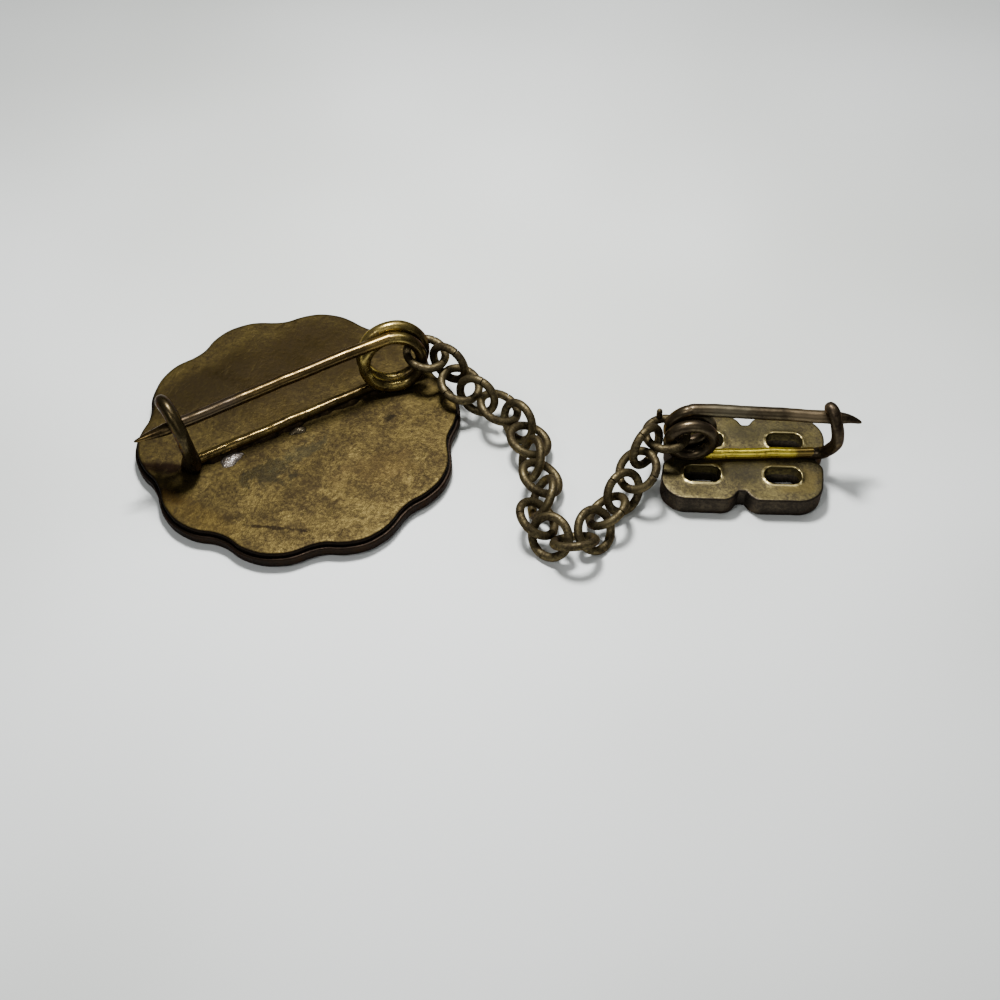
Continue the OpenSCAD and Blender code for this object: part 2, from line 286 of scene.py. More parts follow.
GUARD_BASE_MARKS = (
    Mark(28.9, -2.65, 1.2, 0.8, 0, (84, 62, 46), 0.85, 1.2, 700.0, 1.7),
    Mark(22.4, -2.75, 1.3, 0.8, 0, (44, 33, 24), 0.9, 1.2, 700.0, 1.7),
)
GUARD_WIRE_MARKS = (
    Mark(28.6, -2.2, 1.4, 0.9, 0, (106, 92, 70), 0.75, 1.6, 700.0, 4.4),
    # A painted pale highlight on the left part of the guard's stem.
    Mark(24.4, -2.1, 1.8, 0.9, 0, (98, 92, 74), 0.5, 1.6, 600.0, 4.5),
)


# Node trees


class Pad:
    """Adds nodes to one tree and joins them.

    Attributes:
        tree: The tree that the nodes go into.
        FIRST_COLOUR, SECOND_COLOUR, MIXED_COLOUR: Numbers of the colour sockets of a Mix node,
            where several sockets share one name.
    """

    FIRST_COLOUR, SECOND_COLOUR, MIXED_COLOUR = 6, 7, 2

    def __init__(self, tree: Tree) -> None:
        """Keep the tree that the nodes go into."""
        self.tree = tree

    def add(self, kind: str, feeds: dict[str | int, object] | None = None, **settings: object) -> Node:
        """Add one node.

        Args:
            kind: Blender's name for the node.
            feeds: What goes into each of its inputs, a value or a socket.
            **settings: Attributes to set on it.

        Returns:
            The new node.
        """
        node = self.tree.nodes.new(kind)
        for name, value in settings.items():
            setattr(node, name, value)
        self.feed(node, feeds or {})
        return node

    def feed(self, node: Node, feeds: dict[str | int, object]) -> None:
        """Give inputs of a node their values or join them to sockets.

        Args:
            node: The node.
            feeds: A value or a socket for each input.
        """
        for name, value in feeds.items():
            if isinstance(value, Socket):
                self.tree.links.new(value, node.inputs[name])
            else:
                node.inputs[name].default_value = value

    def group(self, tree: Tree, feeds: dict[str | int, object]) -> bpy.types.NodeOutputs:
        """Add a shader node group and give its outputs."""
        return self.add("ShaderNodeGroup", feeds, node_tree=tree).outputs

    def noise(self, place: Socket, scale: float | Socket, detail: float, roughness: float) -> Socket:
        """Add a noise of about 0.3 to 0.7, with a scale in spots per metre."""
        feeds = {"Vector": place, "Scale": scale, "Detail": detail, "Roughness": roughness}
        return self.add("ShaderNodeTexNoise", feeds).outputs["Fac"]

    def math(self, operation: str, *values: float | Socket, clamp: bool = False) -> Socket:
        """Add a sum of values, which clamp keeps between 0 and 1."""
        feeds = dict(enumerate(values))
        return self.add("ShaderNodeMath", feeds, operation=operation, use_clamp=clamp).outputs[0]

    def times(self, first: float | Socket, second: float | Socket) -> Socket:
        """Multiply two values."""
        return self.math("MULTIPLY", first, second)

    def between(self, value: Socket, low: float, high: float, start: float = 0.0,
                end: float = 1.0) -> Socket:
        """Spread the range low to high smoothly over start to end."""
        feeds = {"Value": value, "From Min": low, "From Max": high, "To Min": start, "To Max": end}
        return self.add("ShaderNodeMapRange", feeds, interpolation_type="SMOOTHSTEP").outputs["Result"]

    def blend(self, part: Socket, first: object, second: object) -> Socket:
        """Mix two colours, part being the share of the second."""
        feeds = {"Factor": part, self.FIRST_COLOUR: first, self.SECOND_COLOUR: second}
        return self.add("ShaderNodeMix", feeds, data_type="RGBA").outputs[self.MIXED_COLOUR]


def start_tree(name: str, kind: str, takes: dict[str, str],
               gives: dict[str, str]) -> tuple[Pad, bpy.types.NodeOutputs, Node]:
    """Start a node tree with named inputs and outputs.

    Args:
        name: Name of the tree.
        kind: Blender's name for its kind.
        takes: Kind of each input, by name.
        gives: Kind of each output, by name.

    Returns:
        The tree's pad, the sockets of its inputs and its output node.
    """
    tree = bpy.data.node_groups.new(name, kind)
    for way, labels in (("INPUT", takes), ("OUTPUT", gives)):
        for label, socket in labels.items():
            tree.interface.new_socket(label, in_out=way, socket_type=f"NodeSocket{socket}")
    pad = Pad(tree)
    return pad, pad.add("NodeGroupInput").outputs, pad.add("NodeGroupOutput")


class BrassShop:
    """Makes the finishes of aged brass, from shader groups that they share.

    Attributes:
        tarnish: Group for the brown skin and the dirt over it, which on some rims also paints shade and
            highlights.
        scratches: Group for fine scratches.
        stain_and_painted_light: Group for one ragged mark.
        FINE, SMALL, GRIT: How many times finer than the skin's spots the finer noises are.
        CLOUD: Shares of the broad, fine and gritty noise in the clouds of the skin.
        RELIEF: Shares of the fine and the gritty noise in the relief.
        LAYERS: Heading of each layer of scratches, in radians, and its place in the noise.
        STROKES, LINES: Marks per metre along and across, of short strokes and fine lines.
        LINE_DEPTH, LINE_COLOUR: How deep and how clear the fine lines are.
        SKIN_METAL: How metallic the skin is.
        GLOSS_TINT: Tint of the gloss.
    """

    FINE, SMALL, GRIT = 5.3, 9.0, 23.0
    CLOUD = (0.42, 0.40, 0.18)
    RELIEF = (0.7, 0.3)
    LAYERS = ((0.4, 0.0), (-0.9, 2.8), (1.9, 7.6))
    STROKES = {"Long": 900.0, "Thin": 2600.0}
    LINES = {"Long": 800.0, "Thin": 9000.0}
    LINE_DEPTH, LINE_COLOUR = 0.35, 0.45
    SKIN_METAL = 0.8
    GLOSS_TINT = (0.4, 0.34, 0.27, 1.0)

    def __init__(self) -> None:
        """Build the groups."""
        self.tarnish = self._tarnish()
        self.scratches = self._scratches()
        self.stain_and_painted_light = self._stain_and_painted_light()

    def _tarnish(self) -> Tree:
        """Make the group for a brown skin over brass, rubbed on edges and dirty in hollows, with painted
        highlights and shade.
        """
        pad, taken, given = start_tree(
            "tarnish", "ShaderNodeTree",
            {"Place": "Vector", "Mottle": "Float", "Bare": "Color", "Aged": "Color", "Dirt_and_shade": "Color",
             "Cover": "Float", "Flecks": "Float", "Edge": "Float", "Deep": "Float"},
            {"Colour": "Color", "Skin": "Float", "Relief": "Float"})
        place, mottle = taken["Place"], taken["Mottle"]
        broad = pad.noise(place, mottle, 3.0, 0.6)
        fine = pad.noise(place, pad.times(mottle, self.FINE), 4.0, 0.65)
        grit = pad.noise(place, pad.times(mottle, self.GRIT), 2.0, 0.5)
        small = pad.noise(place, pad.times(mottle, self.SMALL), 2.0, 0.6)
        parts = [pad.times(noise, share) for noise, share in zip((broad, fine, grit), self.CLOUD)]
        cloud = pad.math("ADD", pad.math("ADD", *parts[:2]), parts[2])
        flecks = pad.times(pad.between(small, 0.4, 0.6, -1.0, 1.0), taken["Flecks"])
        spread = pad.math("ADD", pad.between(cloud, 0.36, 0.62, -0.42, 0.42), flecks)
        rubbed = pad.times(taken["Edge"], pad.between(fine, 0.3, 0.6, 0.45, 1.0))
        skin = pad.math("SUBTRACT", pad.math("ADD", taken["Cover"], spread), rubbed, clamp=True)
        specks = pad.times(pad.between(grit, 0.56, 0.7), pad.between(broad, 0.4, 0.6, 0.15, 0.6))
        soiled = pad.math("MAXIMUM", taken["Deep"], specks, clamp=True)
        rough = [pad.times(noise, share) for noise, share in zip((fine, grit), self.RELIEF)]
        pad.feed(given, {
            "Colour": pad.blend(soiled, pad.blend(skin, taken["Bare"], taken["Aged"]), taken["Dirt_and_shade"]),
            "Skin": pad.math("MAXIMUM", skin, soiled),
            "Relief": pad.math("ADD", *rough)})
        return pad.tree

    def _scratches(self) -> Tree:
        """Make the group for fine scratches that run three ways along the surface."""
        pad, taken, given = start_tree(
            "scratches", "ShaderNodeTree", {"Place": "Vector", "Long": "Float", "Thin": "Float"},
            {"Mask": "Float"})
        most: float | Socket = 0.0
        for turn, layer in self.LAYERS:
            turned = pad.add("ShaderNodeVectorRotate", {"Vector": taken["Place"], "Angle": turn},
                             rotation_type="Z_AXIS")
            apart = pad.add("ShaderNodeSeparateXYZ", {"Vector": turned.outputs["Vector"]}).outputs
            drawn = pad.add("ShaderNodeCombineXYZ", {"X": pad.times(apart["X"], taken["Long"]),
                                                     "Y": pad.times(apart["Y"], taken["Thin"]),
                                                     "Z": layer})
            grain = pad.noise(drawn.outputs["Vector"], 1.0, 2.0, 0.5)
            most = pad.math("MAXIMUM", most, pad.between(grain, 0.66, 0.72))
        pad.feed(given, {"Mask": most})
        return pad.tree

    @staticmethod
    def _stain_and_painted_light() -> Tree:
        """Make the group for one ragged mark."""
        pad, taken, given = start_tree(
            "stain_and_painted_light", "ShaderNodeTree",
            {"Place": "Vector", "Middle": "Vector", "Turn": "Float", "Size": "Vector",
             "Ragged": "Float", "Grain": "Float"},
            {"Mask": "Float"})
        moved = pad.add("ShaderNodeVectorMath", {0: taken["Place"], 1: taken["Middle"]},
                        operation="SUBTRACT")
        turned = pad.add("ShaderNodeVectorRotate", {"Vector": moved.outputs[0], "Angle": taken["Turn"]},
                         rotation_type="Z_AXIS", invert=True)
        scaled = pad.add("ShaderNodeVectorMath", {0: turned.outputs["Vector"], 1: taken["Size"]},
                         operation="DIVIDE")
        far = pad.add("ShaderNodeVectorMath", {0: scaled.outputs[0]}, operation="LENGTH")
        noise = pad.noise(taken["Place"], taken["Grain"], 4.0, 0.65)
        ragged = pad.times(pad.math("SUBTRACT", noise, 0.5), taken["Ragged"])
        reach = pad.math("ADD", far.outputs["Value"], ragged)
        pad.feed(given, {"Mask": pad.between(reach, 1.1, 0.45)})
        return pad.tree

    def make(self, finish: Finish, marks: tuple[Mark, ...] = ()) -> Material:
        """Make one finish of aged brass.

        The mesh attributes "edge" and "deep" say where it is rubbed and where dirt has gathered; on some
        rims they also paint highlights and shade.

        Args:
            finish: The finish to make.
            marks: Marks to lay over it.

        Returns:
            The material.
        """
        material = bpy.data.materials.new(finish.name)
        material.use_nodes = True
        pad = Pad(material.node_tree)
        place = pad.add("ShaderNodeTexCoord").outputs["Object"]
        edge, deep = (pad.add("ShaderNodeAttribute", attribute_name=name).outputs["Fac"]
                      for name in ("edge", "deep"))
        bare, aged, dirt = (screen(*shade) for shade in (finish.bare, finish.aged, finish.dirt))
        skin = pad.group(self.tarnish, {
            "Place": place, "Mottle": finish.mottle, "Bare": bare, "Aged": aged, "Dirt_and_shade": dirt,
            "Cover": finish.cover, "Flecks": finish.flecks, "Edge": edge, "Deep": deep})
        colour = skin["Colour"]
        for mark in marks:
            mask = pad.group(self.stain_and_painted_light, {
                "Place": place, "Middle": Vector((mark.x, mark.y, mark.z)) * MM,
                "Turn": math.radians(mark.turn),
                "Size": Vector((mark.half_length, mark.half_width, mark.half_depth)) * MM,
                "Ragged": mark.ragged, "Grain": mark.grain})["Mask"]
            colour = pad.blend(pad.times(mask, mark.strength), colour, screen(*mark.colour))
        if finish.strokes:
            strokes = pad.group(self.scratches, {"Place": place, **self.STROKES})["Mask"]
            colour = pad.blend(pad.times(strokes, finish.strokes), colour, aged)
        lines = pad.group(self.scratches, {"Place": place, **self.LINES})["Mask"]
        scratch = pad.times(lines, finish.scratched)
        height = pad.math("SUBTRACT", skin["Relief"], pad.times(scratch, self.LINE_DEPTH))
        bump = pad.add("ShaderNodeBump", {"Strength": 1.0, "Distance": finish.relief, "Height": height})
        pad.feed(material.node_tree.nodes["Principled BSDF"], {
            "Base Color": pad.blend(pad.times(scratch, self.LINE_COLOUR), colour, bare),
            "Roughness": pad.between(skin["Skin"], 0.0, 1.0, finish.bare_shine, finish.aged_shine),
            "Metallic": pad.between(skin["Skin"], 0.0, 1.0, 1.0, self.SKIN_METAL),
            "Specular Tint": self.GLOSS_TINT,
            "Normal": bump.outputs["Normal"]})
        return material


# Meshes


def put_in(name: str, data: bpy.types.ID) -> Piece:
    """Make an object of a mesh, a lamp or a camera and put it in the scene."""
    piece = bpy.data.objects.new(name, data)
    bpy.context.collection.objects.link(piece)
    return piece


def dress(piece: Piece, home: Home) -> Piece:
    """Set a finished piece on its body in place of the nodes that it stands for.

    Args:
        piece: The piece.
        home: Where it belongs.

    Returns:
        The piece.
    """
    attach(piece, home.body.value)
    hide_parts(*home.nodes)
    return piece


def ripple(turn: float, *waves: Wave) -> float:
    """Add up waves round a circle, each given by its size, its number and its shift in radians."""
    return sum(size * math.sin(number * turn + shift) for size, number, shift in waves)


def swell(spot: Vector, *waves: Swell) -> float:
    """Add up waves over a flat side, each given by size, number along x and y, and shift."""
    return sum(size * math.sin(along * spot.x + across * spot.y + shift)
               for size, along, across, shift in waves)


def outward(spots: list[Vector], reach: int) -> list[Vector]:
    """Give the outward direction at each point of a closed line.

    Args:
        spots: The points, in order.
        reach: How many points away on either side to look.

    Returns:
        One direction for each point.
    """
    ways = []
    for i in range(len(spots)):
        along = spots[(i + reach) % len(spots)] - spots[i - reach]
        ways.append(Vector((along.y, -along.x)).normalized())
    return ways


@dataclass(frozen=True)
class Ring:
    """One ring of a plate's profile.

    Attributes:
        out: How far the ring lies outside the plate's edge, in millimetres.
        height: Its height in millimetres.
        edge: How much the ring is rubbed, 0 to 1; on some rims it also paints a highlight.
        deep: How much dirt it holds, 0 to 1; on some rims it also paints shade.
        rim: Whether the faces above it have the finish of the edge, not of the back.
    """

    out: float
    height: float
    edge: float = 0.0
    deep: float = 0.0
    rim: bool = False

    @property
    def coat(self) -> Coat:
        """Give the finish of the faces above the ring."""
        return Coat.EDGE if self.rim else Coat.BACK


@dataclass
class Shell:
    """Points and faces of one piece, in millimetres, with the wear of each point.

    Attributes:
        points: The points.
        edge: How much each point is rubbed, 0 to 1; on some rims it also paints a highlight.
        deep: How much dirt each point holds, 0 to 1; on some rims it also paints shade.
        faces: The faces, as numbers of points.
        finish_of: Number of the finish of each face.
    """

    points: list[Vector] = field(default_factory=list)
    edge: list[float] = field(default_factory=list)
    deep: list[float] = field(default_factory=list)
    faces: list[tuple[int, ...]] = field(default_factory=list)
    finish_of: list[int] = field(default_factory=list)

    def add(self, spots: Iterable[Vector], edge: float = 0.0, deep: float = 0.0) -> int:
        """Add points.

        Args:
            spots: The points.
            edge: How much they are rubbed; on some rims it also paints a highlight.
            deep: How much dirt they hold; on some rims it also paints shade.

        Returns:
            The number of the first of them.
        """
        start = len(self.points)
        self.points += spots
        self.edge += [edge] * (len(self.points) - start)
        self.deep += [deep] * (len(self.points) - start)
        return start

    def face(self, corners: Iterable[int], finish: int = 0) -> None:
        """Add one face."""
        self.faces.append(tuple(corners))
        self.finish_of.append(finish)

    def join(self, row: int, after: int, count: int, finish: int = 0) -> None:
        """Join two closed rows of points.

        Args:
            row: Number of the first point of one row.
            after: Number of the first point of the other row.
            count: Number of points in a row.
            finish: Finish of the new faces.
        """
        for i in range(count):
            k = (i + 1) % count
            self.face((row + i, row + k, after + k, after + i), finish)

    def fan(self, middle: int, row: int, count: int, finish: int = 0) -> None:
        """Close a row of points with triangles to its middle.

        Args:
            middle: Number of the middle point.
            row: Number of the first point of the row.
            count: Number of points in the row.
            finish: Finish of the new faces.
        """
        for i in range(count):
            self.face((middle, row + i, row + (i + 1) % count), finish)

    def make(self, name: str, finishes: list[Material], home: Home, sharp: float = 70.0) -> Piece:
        """Make the piece and set it in place.

        Args:
            name: Its name.
            finishes: Its finishes.
            home: Where it belongs.
            sharp: Angle in degrees past which an edge stays sharp.

        Returns:
            The piece.
        """
        mesh = bpy.data.meshes.new(name)
        mesh.from_pydata([point * MM for point in self.points], [], self.faces)
        for label, values in (("edge", self.edge), ("deep", self.deep)):
            mesh.attributes.new(label, "FLOAT", "POINT").data.foreach_set("value", values)
        for finish in finishes:
            mesh.materials.append(finish)
        mesh.polygons.foreach_set("material_index", self.finish_of)
        work = bmesh.new()
        work.from_mesh(mesh)
        bmesh.ops.recalc_face_normals(work, faces=work.faces)
        work.to_mesh(mesh)
        work.free()
        mesh.shade_smooth()
        mesh.set_sharp_from_angle(angle=math.radians(sharp))
        return dress(put_in(name, mesh), home)


# Badge


def arc_reach(middle: float, radius: float, turn: float, side: int) -> float:
    """Give how far out a circle is met at a turn from the line to its middle, on its near or far side."""
    return middle * math.cos(turn) + side * math.sqrt(radius ** 2 - (middle * math.sin(turn)) ** 2)


@dataclass
class BadgePlate:
    """The scalloped plate, from its flat front on the table to the back sheet on top.

    Attributes:
        tip: Distance from the middle to the tip of a lobe.
        valley: Distance from the middle to the bottom of a valley.
        valley_curve: Radius of the hollow curve in a valley.
        lobes: Number of lobes.
        turn: Heading of the first lobe, in degrees.
        shift: How far the plate's middle lies from the model's origin, to the near side.
        points: Number of points round the edge.
        inner_rings: Number of rings of points across the back.
        uneven: Waves of the edge.
        dents: Waves of the back.
        dent_reach: Distance from the middle where the dents end.
        front_parts: Places of the rings across the front, as parts of its radius.
        front_wear: How much the front is rubbed and how much dirt it holds.
        profile: Rings of the edge, from the back down.
    """

    tip: float = 9.22
    valley: float = 8.66
    valley_curve: float = 2.8
    lobes: int = 10
    turn: float = 12.0
    shift: float = 0.15
    points: int = 480
    inner_rings: int = 46
    uneven: tuple[Wave, ...] = ((0.012, 7, 0.4), (0.01, 17, 1.3), (0.006, 41, 2.0))
    dents: tuple[Swell, ...] = ((0.012, 0.9, 0.7, 0.0), (0.010, 1.7, -1.1, 1.0), (0.006, 2.1, 3.3, 0.0))
    dent_reach: float = 9.0
    front_parts: tuple[float, ...] = (0.9, 0.6, 0.3)
    front_wear: tuple[float, float] = (0.1, 0.1)
    # Columns: out, height, edge, deep, rim
    profile: tuple[Ring, ...] = (
        Ring(-0.22, 1.2, 0.1),
        Ring(-0.12, 1.197, 0.15),
        # These rings darken the edge of the sheet, its wall and the crevice under it: dirt, and painted
        # shade.
        Ring(-0.05, 1.178, 0.0, 0.4),
        Ring(-0.01, 1.14, 0.1, 0.4, True),
        Ring(0.0, 1.07, 0.0, 0.5, True),
        Ring(0.0, 0.9, 0.0, 0.9, True),
        Ring(-0.02, 0.85, 0.0, 1.0, True),
        Ring(0.03, 0.835, 0.0, 0.7, True),
        # The rolled ledge is rubbed bright: wear, and a painted highlight.
        Ring(0.08, 0.846, 0.3, 0.1, True),
        Ring(0.14, 0.835, 0.55, 0.0, True),
        Ring(0.175, 0.795, 0.4, 0.0, True),
        Ring(0.18, 0.7, 0.1, 0.0, True),
        Ring(0.17, 0.5, 0.0, 0.1, True),
        Ring(0.18, 0.32, 0.0, 0.2, True),
        Ring(0.15, 0.24, 0.2, 0.2, True),
        # Painted shade: these rings darken the foot where the rim meets the table.
        Ring(0.05, 0.2, 0.0, 0.7, True),
        Ring(0.0, 0.16, 0.0, 0.9, True),
        Ring(0.0, 0.07, 0.0, 0.6, True),
        Ring(-0.06, 0.01, 0.2, 0.3, True),
        Ring(-0.16, 0.0, 0.2, 0.1, True),
    )

    def _edge_radius(self, turn: float) -> float:
        """Give the distance from the middle to the edge, where round lobes meet round valleys.

        Args:
            turn: Heading from the middle, in radians.

        Returns:
            The distance in millimetres.
        """
        half = math.pi / self.lobes
        valley_middle = self.valley + self.valley_curve
        across = valley_middle * math.cos(half)
        lobe_curve = ((self.tip ** 2 + valley_middle ** 2 - 2 * self.tip * across - self.valley_curve ** 2)
                      / (2 * (self.valley_curve + self.tip - across)))
        lobe_middle = self.tip - lobe_curve
        off = (turn - math.radians(self.turn)) % (2 * half)
        from_lobe = min(off, 2 * half - off)
        way = Vector((across - lobe_middle, valley_middle * math.sin(half))).normalized()
        meeting = way * lobe_curve + Vector((lobe_middle, 0.0))
        if from_lobe < math.atan2(meeting.y, meeting.x):
            return arc_reach(lobe_middle, lobe_curve, from_lobe, 1)
        return arc_reach(valley_middle, self.valley_curve, half - from_lobe, -1)

    def _back(self, spot: Vector) -> Vector:
        """Give the point of the gently dented back over a spot."""
        fade = max(0.0, 1 - (spot.length / self.dent_reach) ** 6)
        return Vector((spot.x, spot.y, self.profile[0].height + fade * swell(spot, *self.dents)))

    def build(self, brass: BrassShop) -> Iterator[Piece]:
        """Make the plate and set it in place.

        Args:
            brass: Makes its finishes.

        Returns:
            The piece.
        """
        spots = []
        for i in range(self.points):
            turn = 2 * math.pi * i / self.points
            reach = self._edge_radius(turn) + ripple(turn, *self.uneven)
            spots.append(Vector((reach * math.cos(turn), reach * math.sin(turn))))
        ways = outward(spots, 2)
        loops = [[spot + way * ring.out for spot, way in zip(spots, ways)] for ring in self.profile]
        shell = Shell()
        middle = shell.add([self._back(Vector((0, 0)))])
        rows = [shell.add([self._back(spot * (k / self.inner_rings)) for spot in loops[0]])
                for k in range(1, self.inner_rings)]
        for loop, ring in zip(loops, self.profile):
            rows.append(shell.add([Vector((*spot, ring.height)) for spot in loop], ring.edge, ring.deep))
        rows += [shell.add([Vector((*(spot * part), 0.0)) for spot in loops[-1]], *self.front_wear)
                 for part in self.front_parts]
        front_middle = shell.add([Vector((0, 0, 0))], *self.front_wear)
        shell.points = [point - Vector((0, self.shift, 0)) for point in shell.points]

        shell.fan(middle, rows[0], self.points)
        coats = [Coat.BACK] * (self.inner_rings - 1) + [ring.coat for ring in self.profile]
        coats += [Coat.EDGE] * len(self.front_parts)
        for row, after, coat in zip(rows, rows[1:], coats[1:]):
            shell.join(row, after, self.points, coat)
        shell.fan(front_middle, rows[-1], self.points, Coat.EDGE)
        finishes = [brass.make(PLATE_BACK, BADGE_MARKS), brass.make(BADGE_RIM)]
        yield shell.make("badge_plate", finishes, ON_BADGE)


# Wires


@dataclass
class Wire:
    """The middle line of one wire.

    Attributes:
        points: Its points, in millimetres.
        girths: Radius of the wire at each point.
        closed: Whether the wire closes on itself.
    """

    points: list[Vector]
    girths: list[float]
    closed: bool = False

    @classmethod
    def through(cls, bends: list[Vector], girth: float, spacing: float = 0.12) -> "Wire":
        """Make a wire that curves smoothly through its bends.

        Args:
            bends: Points that it passes.
            girth: Radius of the wire.
            spacing: Distance between its points.

        Returns:
            The wire.
        """
        stops = [bends[0], *bends, bends[-1]]
        steps = 16
        dense: list[Vector] = []
        for before, start, end, after in zip(stops, stops[1:], stops[2:], stops[3:]):
            for t in (k / steps for k in range(steps)):
                dense.append(0.5 * (2 * start + (end - before) * t
                                    + (2 * before - 5 * start + 4 * end - after) * t ** 2
                                    + (3 * start - before - 3 * end + after) * t ** 3))
        dense.append(bends[-1])
        run = [0.0]
        for start, end in zip(dense, dense[1:]):
            run.append(run[-1] + (end - start).length)
        places = np.linspace(0.0, run[-1], max(2, round(run[-1] / spacing)) + 1)
        table = np.array([list(point) for point in dense])
        line = np.stack([np.interp(places, run, table[:, k]) for k in range(3)], axis=1)
        return cls([Vector(point) for point in line], [girth] * len(line))

    @classmethod
    def turn(cls, at: Callable[[float, float], Vector], girth: float, steps: int) -> "Wire":
        """Make one whole turn, where at gives the point for the cosine and the sine of its angle."""
        angles = [2 * math.pi * i / steps for i in range(steps)]
        return cls([at(math.cos(a), math.sin(a)) for a in angles], [girth] * steps, True)

    def _round_start(self) -> None:
        """Round off the first end."""
        angles = (0.0, 0.35, 0.7, 1.1)
        least, cut_back = 0.08, 0.75
        tip = self.points[0].copy()
        far = [(point - tip).length for point in self.points]
        inner = next(i for i, girth in enumerate(self.girths) if far[i] > girth)
        girth = self.girths[inner]
        way = (self.points[inner] - tip).normalized() * girth
        kept = [i for i in range(len(far)) if far[i] > girth * cut_back]
        self.points = [tip + way * (1 - math.cos(a)) for a in angles] + [self.points[i] for i in kept]
        self.girths = [girth * max(math.sin(a), least) for a in angles] + [self.girths[i] for i in kept]

    def _reverse(self) -> None:
        """Turn the wire end for end."""
        self.points.reverse()
        self.girths.reverse()

    def rounded(self, start: bool = False, end: bool = True) -> "Wire":
        """Round off the ends.

        Args:
            start: Whether the first end is rounded off.
            end: Whether the last end is.

        Returns:
            The wire.
        """
        if start:
            self._round_start()
        if end:
            self._reverse()
            self._round_start()
            self._reverse()
        return self

    def worked(self, wobble: float, uneven: float, shift: float) -> "Wire":
        """Make the wire a little uneven, as if bent by hand.

        Args:
            wobble: How far its middle line wanders, in millimetres.
            uneven: How much its radius varies, as a share.
            shift: A number that sets this wire apart from the others.

        Returns:
            The wire.
        """
        run = 0.0
        count = len(self.points)
        for i, point in enumerate(self.points):
            if i:
                run += (point - self.points[i - 1]).length
            fade = 1.0 if self.closed else min(1.0, 4 * min(i, count - 1 - i) / count)
            turn = 2 * math.pi * i / count if self.closed else run
            point.y += fade * wobble * ripple(turn, (1.0, 1, shift), (0.5, 3, 2 * shift))
            point.z += fade * wobble * ripple(turn, (0.8, 2, shift + 1), (0.4, 5, shift))
            self.girths[i] *= 1 + uneven * ripple(turn, (0.6, 2, shift + 2), (0.4, 7, 3 * shift))
        return self

    def pointed(self, length: float, girth: float, power: float) -> "Wire":
        """Taper the last end to a point.

        Args:
            length: Length of the taper.
            girth: Radius at the very point.
            power: How full the taper is: 1 for a cone, less for a rounder one.

        Returns:
            The wire.
        """
        for i, point in enumerate(self.points):
            part = (point - self.points[-1]).length / length
            if part < 1:
                self.girths[i] = girth + (self.girths[i] - girth) * part ** power
        return self


def run_tree(name: str, mesh: bpy.types.Mesh, tree: Tree, values: dict[str, object]) -> Piece:
    """Run a Geometry Nodes tree on a mesh and keep the result as a plain mesh.

    Args:
        name: Name of the new piece.
        mesh: Mesh that the tree starts from, which is deleted.
        tree: The tree.
        values: Values of its inputs, by name.

    Returns:
        The new piece.
    """
    helper = put_in(f"{name}_path", mesh)
    modifier = helper.modifiers.new("shape", "NODES")
    modifier.node_group = tree
    for item in tree.interface.items_tree:
        if item.in_out == "INPUT" and item.name in values:
            modifier[item.identifier] = values[item.name]
    bpy.context.view_layer.update()
    seen = helper.evaluated_get(bpy.context.evaluated_depsgraph_get())
    result = bpy.data.meshes.new_from_object(seen)
    helper.modifiers.remove(modifier)
    bpy.data.objects.remove(helper)
    bpy.data.meshes.remove(mesh)
    result.name = name
    return put_in(name, result)


def sweep(pad: Pad, line: Socket, ring: Socket, scale: float | Socket = 1.0) -> Socket:
    """Add nodes that sweep a ring along a line, with closed ends."""
    feeds = {"Curve": line, "Profile Curve": ring, "Scale": scale, "Fill Caps": True}
    swept = pad.add("GeometryNodeCurveToMesh", feeds).outputs["Mesh"]
    return pad.add("GeometryNodeSetShadeSmooth", {"Geometry": swept}).outputs["Geometry"]


def end_tree(pad: Pad, shape: Socket, finish: Socket, given: Node) -> Tree:
    """End a tree in Realize Instances and Set Material.

    Args:
        pad: The tree's pad.
        shape: What the tree has made.
        finish: The input that gives its finish.
        given: The tree's output node.

    Returns:
        The tree.
    """
    real = pad.add("GeometryNodeRealizeInstances", {"Geometry": shape}).outputs["Geometry"]
    dressed = pad.add("GeometryNodeSetMaterial", {"Geometry": real, "Material": finish})
    pad.feed(given, {"Geometry": dressed.outputs["Geometry"]})
    return pad.tree


